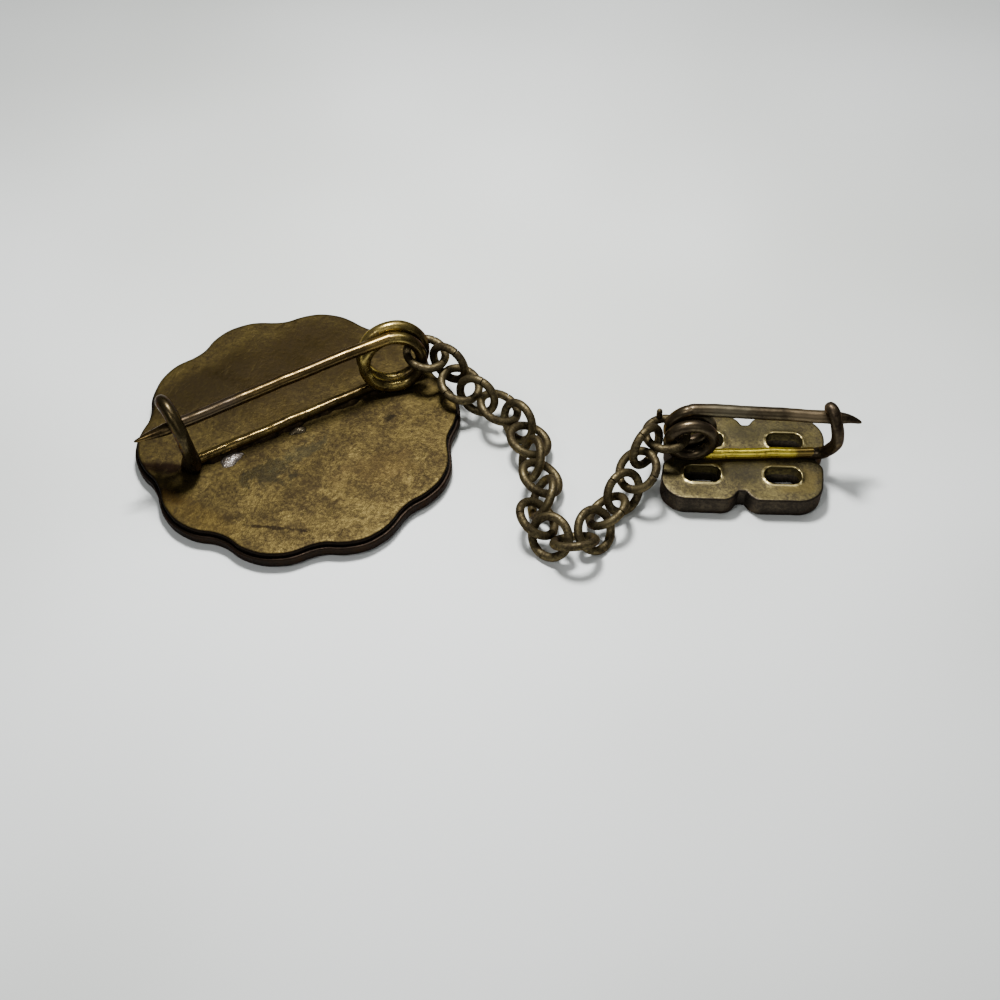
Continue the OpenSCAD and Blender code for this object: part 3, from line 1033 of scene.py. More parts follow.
class WireShop:
    """Makes wires with one Geometry Nodes tree, which sweeps a ring along each middle line."""

    def __init__(self) -> None:
        """Build the tree."""
        pad, taken, given = start_tree(
            "wire_on_path", "GeometryNodeTree",
            {"Geometry": "Geometry", "Sides": "Int", "Width": "Float", "Finish": "Material"},
            {"Geometry": "Geometry"})
        girth = pad.add("GeometryNodeInputNamedAttribute", {"Name": "girth"}, data_type="FLOAT")
        girth = girth.outputs["Attribute"]
        line = pad.add("GeometryNodeMeshToCurve", {"Mesh": taken["Geometry"]}).outputs["Curve"]
        line = pad.add("GeometryNodeSetCurveRadius", {"Curve": line, "Radius": girth}).outputs["Curve"]
        line = pad.add("GeometryNodeSetCurveNormal", {"Curve": line}, mode="MINIMUM_TWIST").outputs["Curve"]
        ring = pad.add("GeometryNodeCurvePrimitiveCircle", {"Radius": 1.0, "Resolution": taken["Sides"]},
                       mode="RADIUS").outputs["Curve"]
        wide = pad.add("ShaderNodeCombineXYZ", {"X": 1.0, "Y": taken["Width"], "Z": 1.0}).outputs["Vector"]
        ring = pad.add("GeometryNodeTransform", {"Geometry": ring, "Scale": wide}).outputs["Geometry"]
        self.tree = end_tree(pad, sweep(pad, line, ring, girth), taken["Finish"], given)

    def make(self, name: str, wires: list[Wire], finish: Material, home: Home, sides: int = 24,
             width: float = 1.0) -> Piece:
        """Make one piece from one or more wires and set it in place.

        Args:
            name: Name of the piece.
            wires: Its wires.
            finish: Its finish.
            home: Where it belongs.
            sides: Number of faces round a wire.
            width: How much wider than thick the wire is.

        Returns:
            The piece.
        """
        points: list[Vector] = []
        edges: list[tuple[int, int]] = []
        girths: list[float] = []
        for wire in wires:
            numbers = range(len(points), len(points) + len(wire.points))
            points.extend(point * MM for point in wire.points)
            girths.extend(girth * MM for girth in wire.girths)
            edges.extend(zip(numbers, numbers[1:]))
            if wire.closed:
                edges.append((numbers[-1], numbers[0]))
        mesh = bpy.data.meshes.new(f"{name}_path")
        mesh.from_pydata(points, edges, [])
        mesh.attributes.new("girth", "FLOAT", "POINT").data.foreach_set("value", girths)
        values = {"Sides": sides, "Width": width, "Finish": finish}
        return dress(run_tree(name, mesh, self.tree, values), home)


# Bent-wire pins


@dataclass(frozen=True)
class Bent:
    """One bent wire of a pin.

    Attributes:
        girth: Radius of the wire.
        bends: Points that it passes: along the pin, to its far side and up.
        work: How far its middle line wanders, how much its radius varies, and a number that sets
            it apart from the other wires.
    """

    girth: float
    bends: tuple[Place, ...]
    work: Work = (0.0, 0.0, 0.0)


@dataclass(frozen=True)
class Turn:
    """One turn of a coil.

    Attributes:
        radius: Its radius.
        girth: Radius of its wire.
        middle: Its middle: along the coil, to its far side and up.
        work: What the work of a bent wire holds.
        points: Number of points round it.
    """

    radius: float
    girth: float
    middle: Place
    work: Work
    points: int


@dataclass(frozen=True)
class Lump:
    """One flat lump of solder.

    Attributes:
        name: Name of the piece.
        along: Place of its middle along the pin.
        far: Place of its middle to the far side.
        size: Its radius.
        shift: A number that sets it apart from the other one.
        solder: Its finish.
    """

    name: str
    along: float
    far: float
    size: float
    shift: float
    solder: Finish


@dataclass
class BentPin:
    """What the two bent-wire pins share.

    Attributes:
        x: Place of its origin on the model.
        y: Place of its origin on the model.
        heading: Heading in degrees.
        point: Length of the stem's point, radius at its very end, and power of its taper.
    """

    x: float
    y: float
    heading: float
    point: Taper

    def _at(self, along: float, far: float, up: float) -> Vector:
        """Give the point of the model for a point along, far from and above the pin's origin."""
        turned = Matrix.Rotation(math.radians(self.heading), 3, "Z") @ Vector((along, far, up))
        return turned + Vector((self.x, self.y, 0.0))

    def _on_coil(self, along: float, far: float, up: float) -> Vector:
        """Give the point of the model for a point in the frame of the coil."""
        return self._at(along, far, up)

    def _wire(self, bent: Bent, *first: Place) -> Wire:
        """Make the line of a bent wire, which may pass other points first."""
        return Wire.through([self._at(*bend) for bend in (*first, *bent.bends)], bent.girth)

    def _turn(self, turn: Turn) -> Wire:
        """Make one whole turn of the coil.

        Args:
            turn: The turn.

        Returns:
            The closed wire.
        """
        along, far, up = turn.middle
        loop = Wire.turn(lambda c, s: self._on_coil(along + turn.radius * c, far, up + turn.radius * s),
                         turn.girth, turn.points)
        return loop.worked(*turn.work)


@dataclass
class BadgePin(BentPin):
    """The badge's bent wires: base wire, hook and coil turn on the plate, and the stem.

    Attributes:
        coil_foot: Foot of the coil in the pin's frame.
        coil_turn: Turn of the coil from the pin's heading, in degrees.
        coil_lean: Lean of the coil to the far side, in degrees.
        base: The base wire.
        fixed_turn: The turn that stands on the plate.
        hook: The hook, from its foot up.
        hook_width: How much wider than thick its wire is.
        foot_girth: How much thicker its foot is.
        foot_height: How far up the foot reaches.
        stem_turn: The turn that moves with the stem.
        stem: The stem, from the coil to its point.
        seam: The solder seam, which the plate half hides.
        lumps: The lumps of solder beside it.
        lump_points: Number of points round a lump.
        lump_foot: Height of a lump's foot.
        lump_top: Height of its top over the foot.
        lump_steps: Its rings, as part of its radius and height over the foot.
        lump_length: Length of a lump, as a share of its size.
        lump_width: Width of a lump, as a share of its size.
    """

    x: float = -0.4
    y: float = -0.04
    heading: float = 29.3
    point: Taper = (1.8, 0.05, 0.75)
    coil_foot: Place = (6.5, -0.28, 1.61)
    coil_turn: float = -14.3
    coil_lean: float = 10.0
    base: Bent = Bent(0.32, ((-6.15, -0.12, 1.46), (-3.0, -0.02, 1.46), (0.2, 0.04, 1.46),
                             (3.4, 0.12, 1.46), (6.65, 0.2, 1.46)), (0.02, 0.03, 0.7))
    fixed_turn: Turn = Turn(1.82, 0.36, (0.16, 0.4, 1.77), (0.02, 0.02, 1.9), 72)
    hook: Bent = Bent(0.4, ((-6.2, -0.12, 1.3), (-6.25, -0.8, 2.6), (-6.4, -0.94, 4.1),
                            (-6.5, -0.55, 5.1), (-6.6, 0.25, 5.7), (-6.65, 0.9, 5.65),
                            (-6.6, 1.25, 5.3)), (0.01, 0.03, 2.6))
    hook_width: float = 1.25
    foot_girth: float = 0.16
    foot_height: float = 1.8
    stem_turn: Turn = Turn(1.68, 0.35, (0.0, -0.4, 1.68), (0.015, 0.02, 4.0), 72)
    stem: Bent = Bent(0.35, ((6.5, -0.06, 5.0), (3.0, 0.04, 4.9), (-2.0, 0.11, 4.67),
                             (-6.9, 0.18, 4.45), (-7.8, 0.25, 4.37), (-8.8, 0.36, 4.23)),
                      (0.012, 0.02, 0.3))
    seam: Bent = Bent(0.5, ((-5.6, -0.14, 0.93), (-2.0, -0.04, 0.93), (2.0, 0.06, 0.93),
                            (5.9, 0.16, 0.93)))
    lumps: tuple[Lump, ...] = (
        Lump("badge_solder_lump_left", -4.1, -0.8, 0.6, 0.0, SOLDER),
        Lump("badge_solder_lump_right", 0.1, -0.68, 0.42, 2.0, BROWN_SOLDER),
    )
    lump_points: int = 36
    lump_foot: float = 1.2
    lump_top: float = 0.24
    lump_steps: tuple[tuple[float, float], ...] = (
        (0.25, 0.225), (0.5, 0.18), (0.72, 0.12), (0.88, 0.055), (1.0, 0.0), (1.02, -0.06), (0.5, -0.08))
    lump_length: float = 1.15
    lump_width: float = 0.72

    def _on_coil(self, along: float, far: float, up: float) -> Vector:
        """Give the point of the model for a point in the frame of the turned and leaning coil."""
        leaned = Matrix.Rotation(math.radians(-self.coil_lean), 3, "X") @ Vector((along, far, up))
        turned = Matrix.Rotation(math.radians(self.coil_turn), 3, "Z") @ leaned
        return self._at(*(turned + Vector(self.coil_foot)))

    def build(self, shop: WireShop, brass: BrassShop) -> Iterator[Piece]:
        """Make all the wires and the solder.

        Args:
            shop: Makes the wires.
            brass: Makes their finishes.

        Returns:
            The pieces, one after another.
        """
        line = self._wire(self.base).worked(*self.base.work).rounded()
        yield shop.make("badge_base_wire", [line], brass.make(BASE_WIRE, BASE_MARKS), ON_BADGE)
        coil = brass.make(COIL_WIRE, COIL_MARKS)
        yield shop.make("badge_coil_turn", [self._turn(self.fixed_turn)], coil, ON_BADGE)

        curl = self._wire(self.hook)
        bottom = curl.points[0].z
        for i, point in enumerate(curl.points):
            part = 1 - (point.z - bottom) / self.foot_height
            curl.girths[i] += self.foot_girth * max(0.0, part)
        curl.worked(*self.hook.work).rounded()
        yield shop.make("badge_hook", [curl], brass.make(HOOK_WIRE), ON_BADGE, width=self.hook_width)

        yield shop.make("badge_stem_turn", [self._turn(self.stem_turn)], coil, ON_BADGE_STEM)
        shaft = self._wire(self.stem).pointed(*self.point).worked(*self.stem.work)
        yield shop.make("badge_stem_wire", [shaft], brass.make(STEM_WIRE, STEM_MARKS), ON_BADGE_STEM)

        # The seam swells and narrows along its length.
        seam = self._wire(self.seam)
        for i in range(len(seam.girths)):
            seam.girths[i] += 0.09 * math.sin(i * 0.31) * math.sin(i * 0.13 + 1) + 0.03 * math.sin(i * 0.9)
        seam.rounded(start=True)
        yield shop.make("badge_solder_seam", [seam], brass.make(SEAM), ON_BADGE, sides=20)
        for lump in self.lumps:
            yield self._build_lump(lump, brass.make(lump.solder))

    def _build_lump(self, lump: Lump, solder: Material) -> Piece:
        """Make one flat lump of solder.

        Args:
            lump: The lump.
            solder: Its finish.

        Returns:
            The piece.
        """
        foot = self._at(lump.along, lump.far, self.lump_foot)
        heading = Matrix.Rotation(math.radians(self.heading), 3, "Z")
        angles = [2 * math.pi * i / self.lump_points for i in range(self.lump_points)]
        shell = Shell()
        top = shell.add([foot + Vector((0, 0, self.lump_top))])
        rows = []
        for part, rise in self.lump_steps:
            ring = []
            for a in angles:
                uneven = ripple(a, (0.12, 2, lump.shift), (0.1, 3, 2 * lump.shift + 1),
                                (0.05, 7, lump.shift))
                reach = lump.size * part * (1 + part * uneven)
                ring.append(foot + heading @ Vector((reach * math.cos(a) * self.lump_length,
                                                     reach * math.sin(a) * self.lump_width,
                                                     rise * (1 + ripple(a, (0.12, 3, lump.shift))))))
            rows.append(shell.add(ring))
        shell.fan(top, rows[0], self.lump_points)
        for row, after in zip(rows, rows[1:]):
            shell.join(row, after, self.lump_points)
        shell.face(range(rows[-1], rows[-1] + self.lump_points))
        return shell.make(lump.name, [solder], ON_BADGE, sharp=80.0)


@dataclass
class GuardPin(BentPin):
    """The guard's bent wires: base wire, fixed turn and hook on the plate, and the stem.

    Attributes:
        base: The base wire.
        fixed_turn: The turn that stands on the plate.
        hook: The hook, from its foot up.
        stem_turn: The turn that moves with the stem.
        stem: The stem, from the sweep to its point.
        sweep: Radius of the sweep from the turn to the stem.
        sweep_steps: Number of steps along the sweep.
    """

    x: float = 25.35
    y: float = -2.72
    heading: float = 0.0
    point: Taper = (1.5, 0.06, 0.7)
    base: Bent = Bent(0.32, ((-3.15, -0.02, 1.66), (-1.0, 0.02, 1.66), (1.5, 0.05, 1.66),
                             (3.85, 0.1, 1.66)), (0.02, 0.03, 3.1))
    fixed_turn: Turn = Turn(1.2, 0.35, (-3.15, -0.08, 2.92), (0.004, 0.01, 0.9), 60)
    hook: Bent = Bent(0.35, ((3.7, 0.1, 1.56), (4.4, -0.04, 1.86), (4.8, -0.4, 2.9), (4.8, -0.47, 3.7),
                             (4.62, -0.3, 4.5), (4.42, 0.2, 5.02), (4.15, 0.75, 4.95)),
                      (0.01, 0.03, 1.2))
    stem_turn: Turn = Turn(1.15, 0.35, (-3.15, 0.74, 3.02), (0.015, 0.02, 2.2), 60)
    stem: Bent = Bent(0.37, ((0.6, 0.63, 4.42), (2.9, 0.53, 4.3), (4.95, 0.45, 4.2), (5.6, 0.44, 4.1),
                             (6.2, 0.42, 3.85)), (0.012, 0.025, 5.3))
    sweep: float = 1.5
    sweep_steps: int = 6

    def build(self, shop: WireShop, brass: BrassShop) -> Iterator[Piece]:
        """Make all the wires.

        Args:
            shop: Makes the wires.
            brass: Makes their finishes.

        Returns:
            The pieces, one after another.
        """
        line = self._wire(self.base).worked(*self.base.work)
        yield shop.make("guard_base_wire", [line], brass.make(GUARD_BASE, GUARD_BASE_MARKS), ON_GUARD)
        wire = brass.make(GUARD_WIRE, GUARD_WIRE_MARKS)
        curl = self._wire(self.hook).worked(*self.hook.work).rounded()
        yield shop.make("guard_coil_and_hook", [self._turn(self.fixed_turn), curl], wire, ON_GUARD)

        along, far, up = self.stem_turn.middle
        start = along - self.stem_turn.radius
        angles = [math.pi / 2 * i / self.sweep_steps for i in range(self.sweep_steps + 1)]
        bends = [(start + self.sweep * (1 - math.cos(a)), far, up + self.sweep * math.sin(a))
                 for a in angles]
        shaft = self._wire(self.stem, *bends).pointed(*self.point).worked(*self.stem.work)
        shaft.rounded(start=True, end=False)
        yield shop.make("guard_stem_wire", [self._turn(self.stem_turn), shaft], wire, ON_GUARD_STEM)


# Chain


@dataclass
class Chain:
    """The fine chain of round links, each turned against the next.

    Attributes:
        links: Number of links.
        radius: Radius of a link, to the middle of its wire.
        wire: Radius of the wire.
        seam: Half of the angle of the closed joint in each link, in degrees.
        steps: Number of points round a link.
        sides: Number of faces round its wire.
        off_plane: How far from its plane a link's own points lie at most, in radii of its wire.
        digits: Digits after the point, in metres, to which a link's points are told apart.
        rounds: How many times the plane of a link is found anew without the points off it.
        end_heading: Heading of the cut end from the middle of the last link, in degrees.
        end_wire: Radius of the cut end.
        end_height: Height of the cut end.
        end_bend: Point that the cut end passes, from its foot.
        end_spacing: Distance between its points.
        end_sides: Number of faces round it.
    """

    links: int = 19
    radius: float = 1.13
    wire: float = 0.244
    seam: float = 0.9
    steps: int = 56
    sides: int = 18
    off_plane: float = 1.3
    digits: int = 8
    rounds: int = 3
    end_heading: float = 108.0
    end_wire: float = 0.17
    end_height: float = 0.85
    end_bend: Place = (0.01, 0.0, 0.45)
    end_spacing: float = 0.06
    end_sides: int = 16

    def _link_place(self, name: str) -> tuple[Vector, Vector]:
        """Find the middle of a link and the direction that its hole faces.

        What stands up out of the ring's plane, as the cut end does, is left out.

        Args:
            name: Name of the link's node.

        Returns:
            The middle and the direction.
        """
        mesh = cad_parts[name].data
        spots = np.empty(len(mesh.vertices) * 3)
        mesh.vertices.foreach_get("co", spots)
        spots = np.unique(spots.reshape(-1, 3).round(self.digits), axis=0)
        for _ in range(self.rounds):
            _, _, axes = np.linalg.svd(spots - spots.mean(axis=0), full_matrices=False)
            height = np.abs((spots - spots.mean(axis=0)) @ axes[2])
            spots = spots[height < self.off_plane * self.wire * MM]
        middle = (spots.min(axis=0) + spots.max(axis=0)) / 2
        return Vector(middle), Vector(axes[2])

    @staticmethod
    def _tree() -> Tree:
        """Build the tree that sets a bent ring at each point of a mesh."""
        pad, taken, given = start_tree(
            "chain_of_links", "GeometryNodeTree",
            {"Geometry": "Geometry", "Link radius": "Float", "Wire radius": "Float", "Seam": "Float",
             "Steps": "Int", "Sides": "Int", "Finish": "Material"}, {"Geometry": "Geometry"})
        bend = pad.add("GeometryNodeCurveArc", {
            "Radius": taken["Link radius"], "Resolution": taken["Steps"], "Start Angle": taken["Seam"],
            "Sweep Angle": pad.math("SUBTRACT", 2 * math.pi, pad.times(taken["Seam"], 2.0))},
            mode="RADIUS").outputs["Curve"]
        ring = pad.add("GeometryNodeCurvePrimitiveCircle", {
            "Radius": taken["Wire radius"], "Resolution": taken["Sides"]}, mode="RADIUS").outputs["Curve"]
        turn = pad.add("GeometryNodeInputNamedAttribute", {"Name": "turn"}, data_type="FLOAT_VECTOR")
        spin = pad.add("FunctionNodeEulerToRotation", {"Euler": turn.outputs["Attribute"]})
        spread = pad.add("GeometryNodeInstanceOnPoints", {
            "Points": taken["Geometry"], "Instance": sweep(pad, bend, ring),
            "Rotation": spin.outputs["Rotation"]})
        return end_tree(pad, spread.outputs["Instances"], taken["Finish"], given)

    def build(self, shop: WireShop, brass: BrassShop) -> Iterator[Piece]:
        """Make the chain and the cut end that stands up from its last link.

        Args:
            shop: Makes the cut end.
            brass: Makes their finish.

        Returns:
            The pieces, one after another.
        """
        names = tuple(f"chain_link_{k + 1:02d}" for k in range(self.links))
        places = [self._link_place(name) for name in names]
        turns = []
        for k, (middle, hole) in enumerate(places):
            along = places[min(k + 1, self.links - 1)][0] - places[max(k - 1, 0)][0]
            along = along.normalized()
            along = (along - hole * along.dot(hole)).normalized()
            turns.extend(Matrix((hole.cross(along), -along, hole)).transposed().to_euler())
        mesh = bpy.data.meshes.new("chain_places")
        mesh.from_pydata([middle for middle, _ in places], [], [])
        mesh.attributes.new("turn", "FLOAT_VECTOR", "POINT").data.foreach_set("vector", turns)
        finish = brass.make(CHAIN_BRASS)
        ringed = run_tree("chain_links", mesh, self._tree(), {
            "Link radius": self.radius * MM, "Wire radius": self.wire * MM,
            "Seam": math.radians(self.seam), "Steps": self.steps, "Sides": self.sides, "Finish": finish})
        yield dress(ringed, Home(Body.JEWEL, Slot.CHAIN, names))

        heading = math.radians(self.end_heading)
        foot = places[-1][0] / MM + self.radius * Vector((math.cos(heading), math.sin(heading), 0.0))
        end = Wire.through([foot, foot + Vector(self.end_bend), foot + Vector((0, 0, self.end_height))],
                           self.end_wire, self.end_spacing)
        last = Home(Body.JEWEL, Slot.CHAIN, names[-1:])
        yield shop.make("chain_cut_end", [end.rounded()], finish, last, self.end_sides)


# Guard


def circle_reach(way: Vector, middle: Vector, radius: float) -> float:
    """Give how far out a ray from the middle leaves a circle, or 0 where it misses it.

    Args:
        way: Direction of the ray.
        middle: Middle of the circle.
        radius: Its radius.

    Returns:
        The distance.
    """
    along = middle.dot(way)
    squared = radius ** 2 - (middle.length_squared - along ** 2)
    return along + math.sqrt(squared) if squared > 0 and along > 0 else 0.0


def side_reach(way: Vector, start: Vector, end: Vector) -> float:
    """Give how far out a ray from the middle crosses a straight side, or 0 where it misses it.

    Args:
        way: Direction of the ray.
        start: One end of the side.
        end: The other end.

    Returns:
        The distance.
    """
    parallel, slack = 1e-9, 1e-6
    run = end - start
    below = way.x * run.y - way.y * run.x
    if abs(below) < parallel:
        return 0.0
    far = (start.x * run.y - start.y * run.x) / below
    part = (start.x * way.y - start.y * way.x) / below
    return far if far > 0 and -slack <= part <= 1 + slack else 0.0


def inside(spot: Vector, ring: np.ndarray) -> bool:
    """Tell whether a spot lies inside a closed line.

    Args:
        spot: The spot.
        ring: Points of the line, one in each row.

    Returns:
        Whether it does.
    """
    least = 1e-12
    x0, y0 = ring[:, 0], ring[:, 1]
    x1, y1 = np.roll(x0, -1), np.roll(y0, -1)
    crossing = (y0 > spot.y) != (y1 > spot.y)
    at = x0 + (spot.y - y0) * (x1 - x0) / np.where(y1 == y0, least, y1 - y0)
    return bool(np.count_nonzero(crossing & (at > spot.x)) % 2)


@dataclass
class GuardPlate:
    """The four-lobed plate of the guard, with a slot in each lobe.

    Attributes:
        middle: Middle of the plate.
        turn: Turn of the plate in degrees.
        slant: Slant of the lobes in degrees.
        half_width: Half of its width.
        half_height: Half of its height.
        lobe_round: Radius of the outer corner of a lobe.
        inner_round: Radius of a lobe's corner beside the middle notch.
        side_round: Radius of a lobe's corner beside the side notch.
        notch_half: Half of the width of a notch at its mouth.
        waist_half: Half of the plate's height at the middle notches.
        side_waist: Half of the plate's width at the side notches.
        slot_offset: Place of a slot from the middle.
        slot_size: Length and width of a slot.
        slot_round: Radius of a slot's corners.
        points: Number of points round the edge.
        slot_points: Number of points round a slot.
        uneven: Waves of the edge.
        dent: Wave of the back.
        lip_lift: How much the lips of the slots rise and fall.
        raised: How much a ring of a slot is rubbed, at least, where it rises and falls.
        lip: How much it is rubbed, at least, where it has the lighter finish of the lip, which also paints
            a highlight.
        mesh_step: Distance between the points across the back.
        mesh_gap: Least distance from them to the edge.
        profile: Rings of the plate's outer edge, from the back down.
        slot_profile: Rings of a slot's edge, from the lip down.
    """

    middle: tuple[float, float] = (25.35, -2.72)
    turn: float = -2.0
    slant: float = 6.5
    half_width: float = 4.5
    half_height: float = 3.1
    lobe_round: float = 1.45
    inner_round: float = 0.9
    side_round: float = 0.55
    notch_half: float = 0.2
    waist_half: float = 2.45
    side_waist: float = 4.05
    slot_offset: tuple[float, float] = (2.25, 1.27)
    slot_size: tuple[float, float] = (2.0, 1.15)
    slot_round: float = 0.5
    points: int = 320
    slot_points: int = 64
    uneven: tuple[Wave, ...] = ((0.008, 9, 0.5), (0.006, 23, 1.7))
    dent: Swell = (0.012, 2.1, 1.3, 0.0)
    lip_lift: float = 0.02
    raised: float = 0.4
    lip: float = 0.5
    mesh_step: float = 0.28
    mesh_gap: float = 0.12
    # Columns: out, height, edge, deep, rim
    profile: tuple[Ring, ...] = (
        Ring(-0.16, 1.4, 0.05),
        Ring(-0.08, 1.392, 0.2),
        # These rings darken the edge of the back: dirt, and painted shade.
        Ring(-0.03, 1.37, 0.1, 0.4, True),
        Ring(-0.003, 1.33, 0.0, 0.5, True),
        Ring(0.0, 1.25, 0.0, 0.2, True),
        Ring(0.0, 0.9, 0.0, 0.1, True),
        Ring(0.0, 0.5, 0.0, 0.1, True),
        Ring(-0.005, 0.25, 0.0, 0.2, True),
        Ring(-0.035, 0.12, 0.15, 0.2, True),
        Ring(-0.09, 0.04, 0.2, 0.3, True),
        Ring(-0.18, 0.0, 0.1, 0.2, True),
    )
    slot_profile: tuple[Ring, ...] = (
        Ring(0.2, 1.4, 0.1),
        # The lips are rubbed bright and take the lighter lip finish, partly a painted highlight.
        Ring(0.12, 1.425, 0.6),
        Ring(0.06, 1.435, 1.0),
        Ring(0.015, 1.41, 1.0),
        Ring(0.0, 1.36, 0.5, 0.1),
        Ring(0.0, 1.22, 0.2),
        Ring(0.0, 0.8, 0.2),
        Ring(0.0, 0.12, 0.0, 0.3, True),
        Ring(0.08, 0.0, 0.1, 0.5, True),
    )

    def _slanted(self, x: float, y: float) -> Vector:
        """Give the point slanted with the lobes."""
        return Vector((x + y * math.tan(math.radians(self.slant)), y))

    def _reach(self, turn: float) -> float:
        """Give the distance from the middle to the edge.

        Args:
            turn: Heading from the middle, in radians.

        Returns:
            The distance in millimetres.
        """
        way = Vector((math.cos(turn), math.sin(turn)))
        slant = math.radians(self.slant)
        flank_x = self.half_width - self.lobe_round
        flank_y = self.half_height - self.lobe_round
        best = 0.0
        for sx, sy in CORNERS:
            outer = self._slanted(sx * flank_x, sy * flank_y)
            inner = self._slanted(sx * (self.notch_half + self.inner_round),
                                  sy * (self.half_height - self.inner_round))
            beside = self._slanted(sx * (self.half_width - self.side_round),
                                   sy * (self.side_round + self.notch_half))
            across = Vector((sx * math.cos(slant), -sx * math.sin(slant)))
            upward = Vector((0.0, sy))
            best = max(best, circle_reach(way, outer, self.lobe_round),
                       circle_reach(way, inner, self.inner_round),
                       circle_reach(way, beside, self.side_round),
                       side_reach(way, inner + self.inner_round * upward,
                                  outer + self.lobe_round * upward),
                       side_reach(way, outer + self.lobe_round * across,
                                  beside + self.side_round * across))
        for half_x, half_y in ((flank_x, self.waist_half), (self.side_waist, flank_y)):
            corners = [self._slanted(x * half_x, y * half_y) for x, y in CORNERS]
            best = max(best, *(side_reach(way, corners[i - 1], corners[i]) for i in range(4)))
        return best

    def _placed(self, spot: Vector, height: float) -> Vector:
        """Give the point of the model for a spot of the plate."""
        turned = Matrix.Rotation(math.radians(self.turn), 2) @ spot
        return Vector((turned.x + self.middle[0], turned.y + self.middle[1], height))

    def _edge(self) -> list[Vector]:
        """Give the points of the edge, with its corners eased a little."""
        angles = [2 * math.pi * i / self.points for i in range(self.points)]
        reach = np.array([self._reach(a) for a in angles])
        for _ in range(2):
            reach = (np.roll(reach, 1) + 2 * reach + np.roll(reach, -1)) / 4
        reach += [ripple(a, *self.uneven) for a in angles]
        return [Vector((far * math.cos(a), far * math.sin(a))) for far, a in zip(reach, angles)]

    def _slot(self, sx: int, sy: int) -> list[Vector]:
        """Give the points round one slot.

        Args:
            sx: Side of the plate along x, -1 or 1.
            sy: Side of the plate along y, -1 or 1.

        Returns:
            The points.
        """
        middle = self._slanted(sx * self.slot_offset[0], sy * self.slot_offset[1])
        half_x, half_y = (size / 2 - self.slot_round for size in self.slot_size)
        spots = []
        for i in range(self.slot_points):
            a = 2 * math.pi * (i + 0.5) / self.slot_points
            way = Vector((math.cos(a), math.sin(a)))
            corner = Vector((math.copysign(half_x, way.x), math.copysign(half_y, way.y)))
            spots.append(middle + corner + self.slot_round * way)
        return spots

    def build(self, brass: BrassShop) -> Iterator[Piece]:
        """Make the plate and set it in place.

        Args:
            brass: Makes its finishes.

        Returns:
            The piece.
        """
        shell = Shell()
        loops = [(self._edge(), self.profile)]
        loops += [(self._slot(sx, sy), self.slot_profile) for sx in (-1, 1) for sy in (-1, 1)]
        back: list[tuple[int, list[Vector]]] = []
        front: list[tuple[int, list[Vector]]] = []
        for number, (spots, profile) in enumerate(loops):
            ways = outward(spots, 1)
            rows = []
            for ring in profile:
                loop = [spot + way * ring.out for spot, way in zip(spots, ways)]
                lift = self.lip_lift if number and ring.edge > self.raised else 0.0
                waves = ((0.6 * lift, 3, number), (0.5 * lift, 8, 2 * number))
                heights = [ring.height + ripple(2 * math.pi * i / len(loop), *waves)
                           for i in range(len(loop))]
                rows.append((shell.add(map(self._placed, loop, heights), ring.edge, ring.deep), loop))
                if len(rows) > 1:
                    coat = Coat.LIP if number and ring.edge > self.lip else ring.coat
                    shell.join(rows[-2][0], rows[-1][0], len(loop), coat)
            back.append(rows[0])
            front.append(rows[-1])
        self._fill(shell, back, self.profile[0].height, Coat.BACK, self.dent)
        self._fill(shell, front, 0.0, Coat.EDGE)
        finishes = [brass.make(GUARD_BACK, GUARD_MARKS), brass.make(GUARD_WALL), brass.make(GUARD_LIP)]
        yield shell.make("guard_plate", finishes, ON_GUARD)

    def _fill(self, shell: Shell, loops: list[tuple[int, list[Vector]]], height: float, coat: Coat,
              *dents: Swell) -> None:
        """Fill a flat side between the edge and the slots with triangles.

        Args:
            shell: The plate.
            loops: Number of the first point, and the spots, of the edge and of each slot.
            height: Height of the side.
            coat: Finish of the new faces.
            *dents: Waves of the side.
        """
        rings = [np.array([list(spot) for spot in loop]) for _, loop in loops]
        every = np.concatenate(rings)
        numbers = [start + i for start, loop in loops for i in range(len(loop))]
        spots = [spot for _, loop in loops for spot in loop]
        least = 1e-7
        lines: list[tuple[int, int]] = []
        for _, loop in loops:
            start = len(lines)
            lines += [(start + i, start + (i + 1) % len(loop)) for i in range(len(loop))]
        high = math.ceil(self.half_height / self.mesh_step)
        wide = math.ceil(self.half_width / self.mesh_step) + 1
        for row in range(-high, high + 1):
            for column in range(-wide, wide + 1):
                spot = Vector((column + (row % 2) / 2, row)) * self.mesh_step
                near = np.min(np.hypot(every[:, 0] - spot.x, every[:, 1] - spot.y))
                if self._on_plate(spot, rings) and near > self.mesh_gap:
                    numbers.append(shell.add([self._placed(spot, height + swell(spot, *dents))]))
                    spots.append(spot)
        placed, _, triangles, sources, _, _ = delaunay_2d_cdt(spots, lines, [], 0, least)
        for triangle in triangles:
            if self._on_plate(sum((placed[i] for i in triangle), Vector((0.0, 0.0))) / 3, rings):
                shell.face((numbers[sources[i][0]] for i in triangle), coat)

    @staticmethod
    def _on_plate(spot: Vector, rings: list[np.ndarray]) -> bool:
        """Tell whether a spot lies inside the first ring and outside the others."""
        return inside(spot, rings[0]) and not any(inside(spot, ring) for ring in rings[1:])


# Stage, light and camera


@dataclass(frozen=True)
class Lamp:
    """One soft square light.

    Attributes:
        name: Its name.
        spot: Its place in millimetres.
        side: Its side in millimetres.
        power: Its power in watts.
    """

    name: str
    spot: Place
    side: float
    power: float


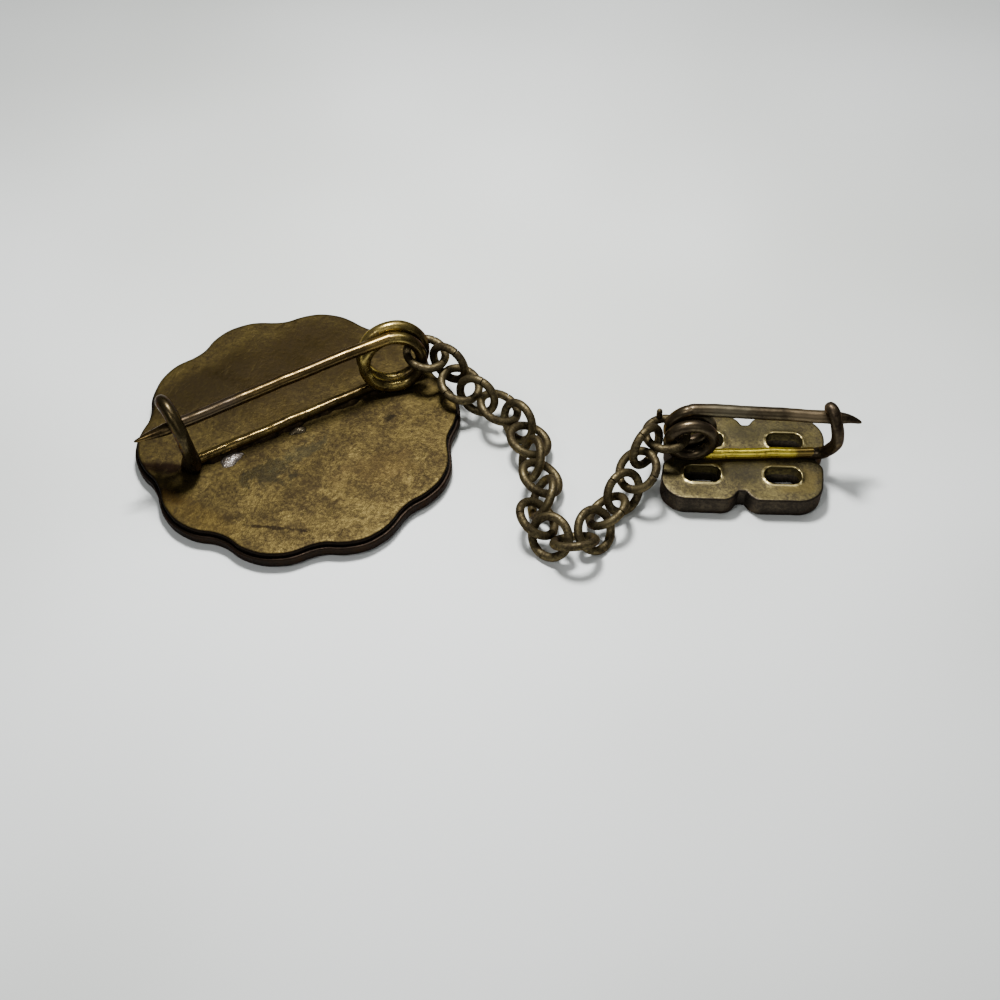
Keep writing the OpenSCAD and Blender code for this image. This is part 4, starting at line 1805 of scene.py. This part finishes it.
@dataclass
class Studio:
    """The pale floor, the soft lights and the camera.

    Attributes:
        eye: Place of the camera.
        aim: Where the camera and the lights are aimed.
        lens: Focal length of the camera, in millimetres.
        sensor: Width of its sensor, in millimetres.
        nearest: Nearest distance that it sees, in metres.
        furthest: Furthest distance that it sees, in metres.
        floor_half: Half of the width of the floor.
        floor_dark: Colour of the darker clouds of the floor, as a screen shows it.
        floor_light: Colour of the lighter ones.
        floor_clouds: Clouds of the floor per metre.
        sky: Colour of the room.
        sky_strength: How bright the room is.
        lamps: The lights.
    """

    eye: Place = (11.6, -53.65, 61.8)
    aim: Place = (11.6, -5.65, 1.2)
    lens: float = 50.4
    sensor: float = 36.0
    nearest: float = 0.001
    furthest: float = 5.0
    floor_half: float = 600.0
    floor_dark: Shade = (200, 203, 198)
    floor_light: Shade = (220, 223, 221)
    floor_clouds: float = 22.0
    sky: Colour = (0.82, 0.86, 0.88, 1.0)
    sky_strength: float = 0.1
    lamps: tuple[Lamp, ...] = (
        Lamp("near_top", (6.0, 14.0, 62.0), 12.0, 0.1),
        Lamp("soft_top", (40.0, 40.0, 110.0), 70.0, 0.052),
        Lamp("window", (-35.0, -60.0, 90.0), 22.0, 0.03),
        Lamp("front_fill", (40.0, -110.0, 90.0), 90.0, 0.025),
    )

    def _aimed(self, name: str, data: bpy.types.ID, spot: Place) -> Piece:
        """Put in a lamp or a camera that faces the object.

        Args:
            name: Its name.
            data: The lamp or the camera.
            spot: Its place in millimetres.

        Returns:
            The object.
        """
        piece = put_in(name, data)
        piece.location = Vector(spot) * MM
        piece.rotation_euler = (Vector(self.aim) - Vector(spot)).to_track_quat("-Z", "Y").to_euler()
        return piece

    def _floor(self) -> None:
        """Make the plain pale floor."""
        mesh = bpy.data.meshes.new("floor")
        half = self.floor_half * MM
        mesh.from_pydata([Vector((x * half, y * half, 0.0)) for x, y in CORNERS], [], [(0, 1, 2, 3)])
        floor = put_in("floor", mesh)
        material = bpy.data.materials.new("pale_table")
        material.use_nodes = True
        pad = Pad(material.node_tree)
        place = pad.add("ShaderNodeTexCoord").outputs["Object"]
        cloud = pad.between(pad.noise(place, self.floor_clouds, 2.0, 0.5), 0.35, 0.65)
        tone = pad.blend(cloud, screen(*self.floor_dark), screen(*self.floor_light))
        pad.feed(material.node_tree.nodes["Principled BSDF"], {"Base Color": tone, "Roughness": 0.7})
        mesh.materials.append(material)

    def build(self) -> None:
        """Set up the floor, the lights, the room and the camera."""
        self._floor()
        for lamp in self.lamps:
            light = bpy.data.lights.new(lamp.name, "AREA")
            light.size = lamp.side * MM
            light.energy = lamp.power
            self._aimed(lamp.name, light, lamp.spot)
        room = bpy.data.worlds.new("room")
        room.use_nodes = True
        Pad(room.node_tree).feed(room.node_tree.nodes["Background"],
                                 {"Color": self.sky, "Strength": self.sky_strength})
        bpy.context.scene.world = room
        camera = bpy.data.cameras.new("photo_camera")
        camera.lens = self.lens
        camera.sensor_width = self.sensor
        camera.clip_start = self.nearest
        camera.clip_end = self.furthest
        bpy.context.scene.camera = self._aimed("photo_camera", camera, self.eye)


def main() -> None:
    """Build the pin and report each piece."""
    logging.basicConfig(level=logging.INFO, format="%(name)s %(message)s")
    Studio().build()
    brass = BrassShop()
    shop = WireShop()
    pieces = chain(BadgePlate().build(brass), BadgePin().build(shop, brass), Chain().build(shop, brass),
                   GuardPlate().build(brass), GuardPin().build(shop, brass))
    for piece in pieces:
        LOG.info("%s: %d faces", piece.name, len(piece.data.polygons))


if __name__ == "__main__":
    main()
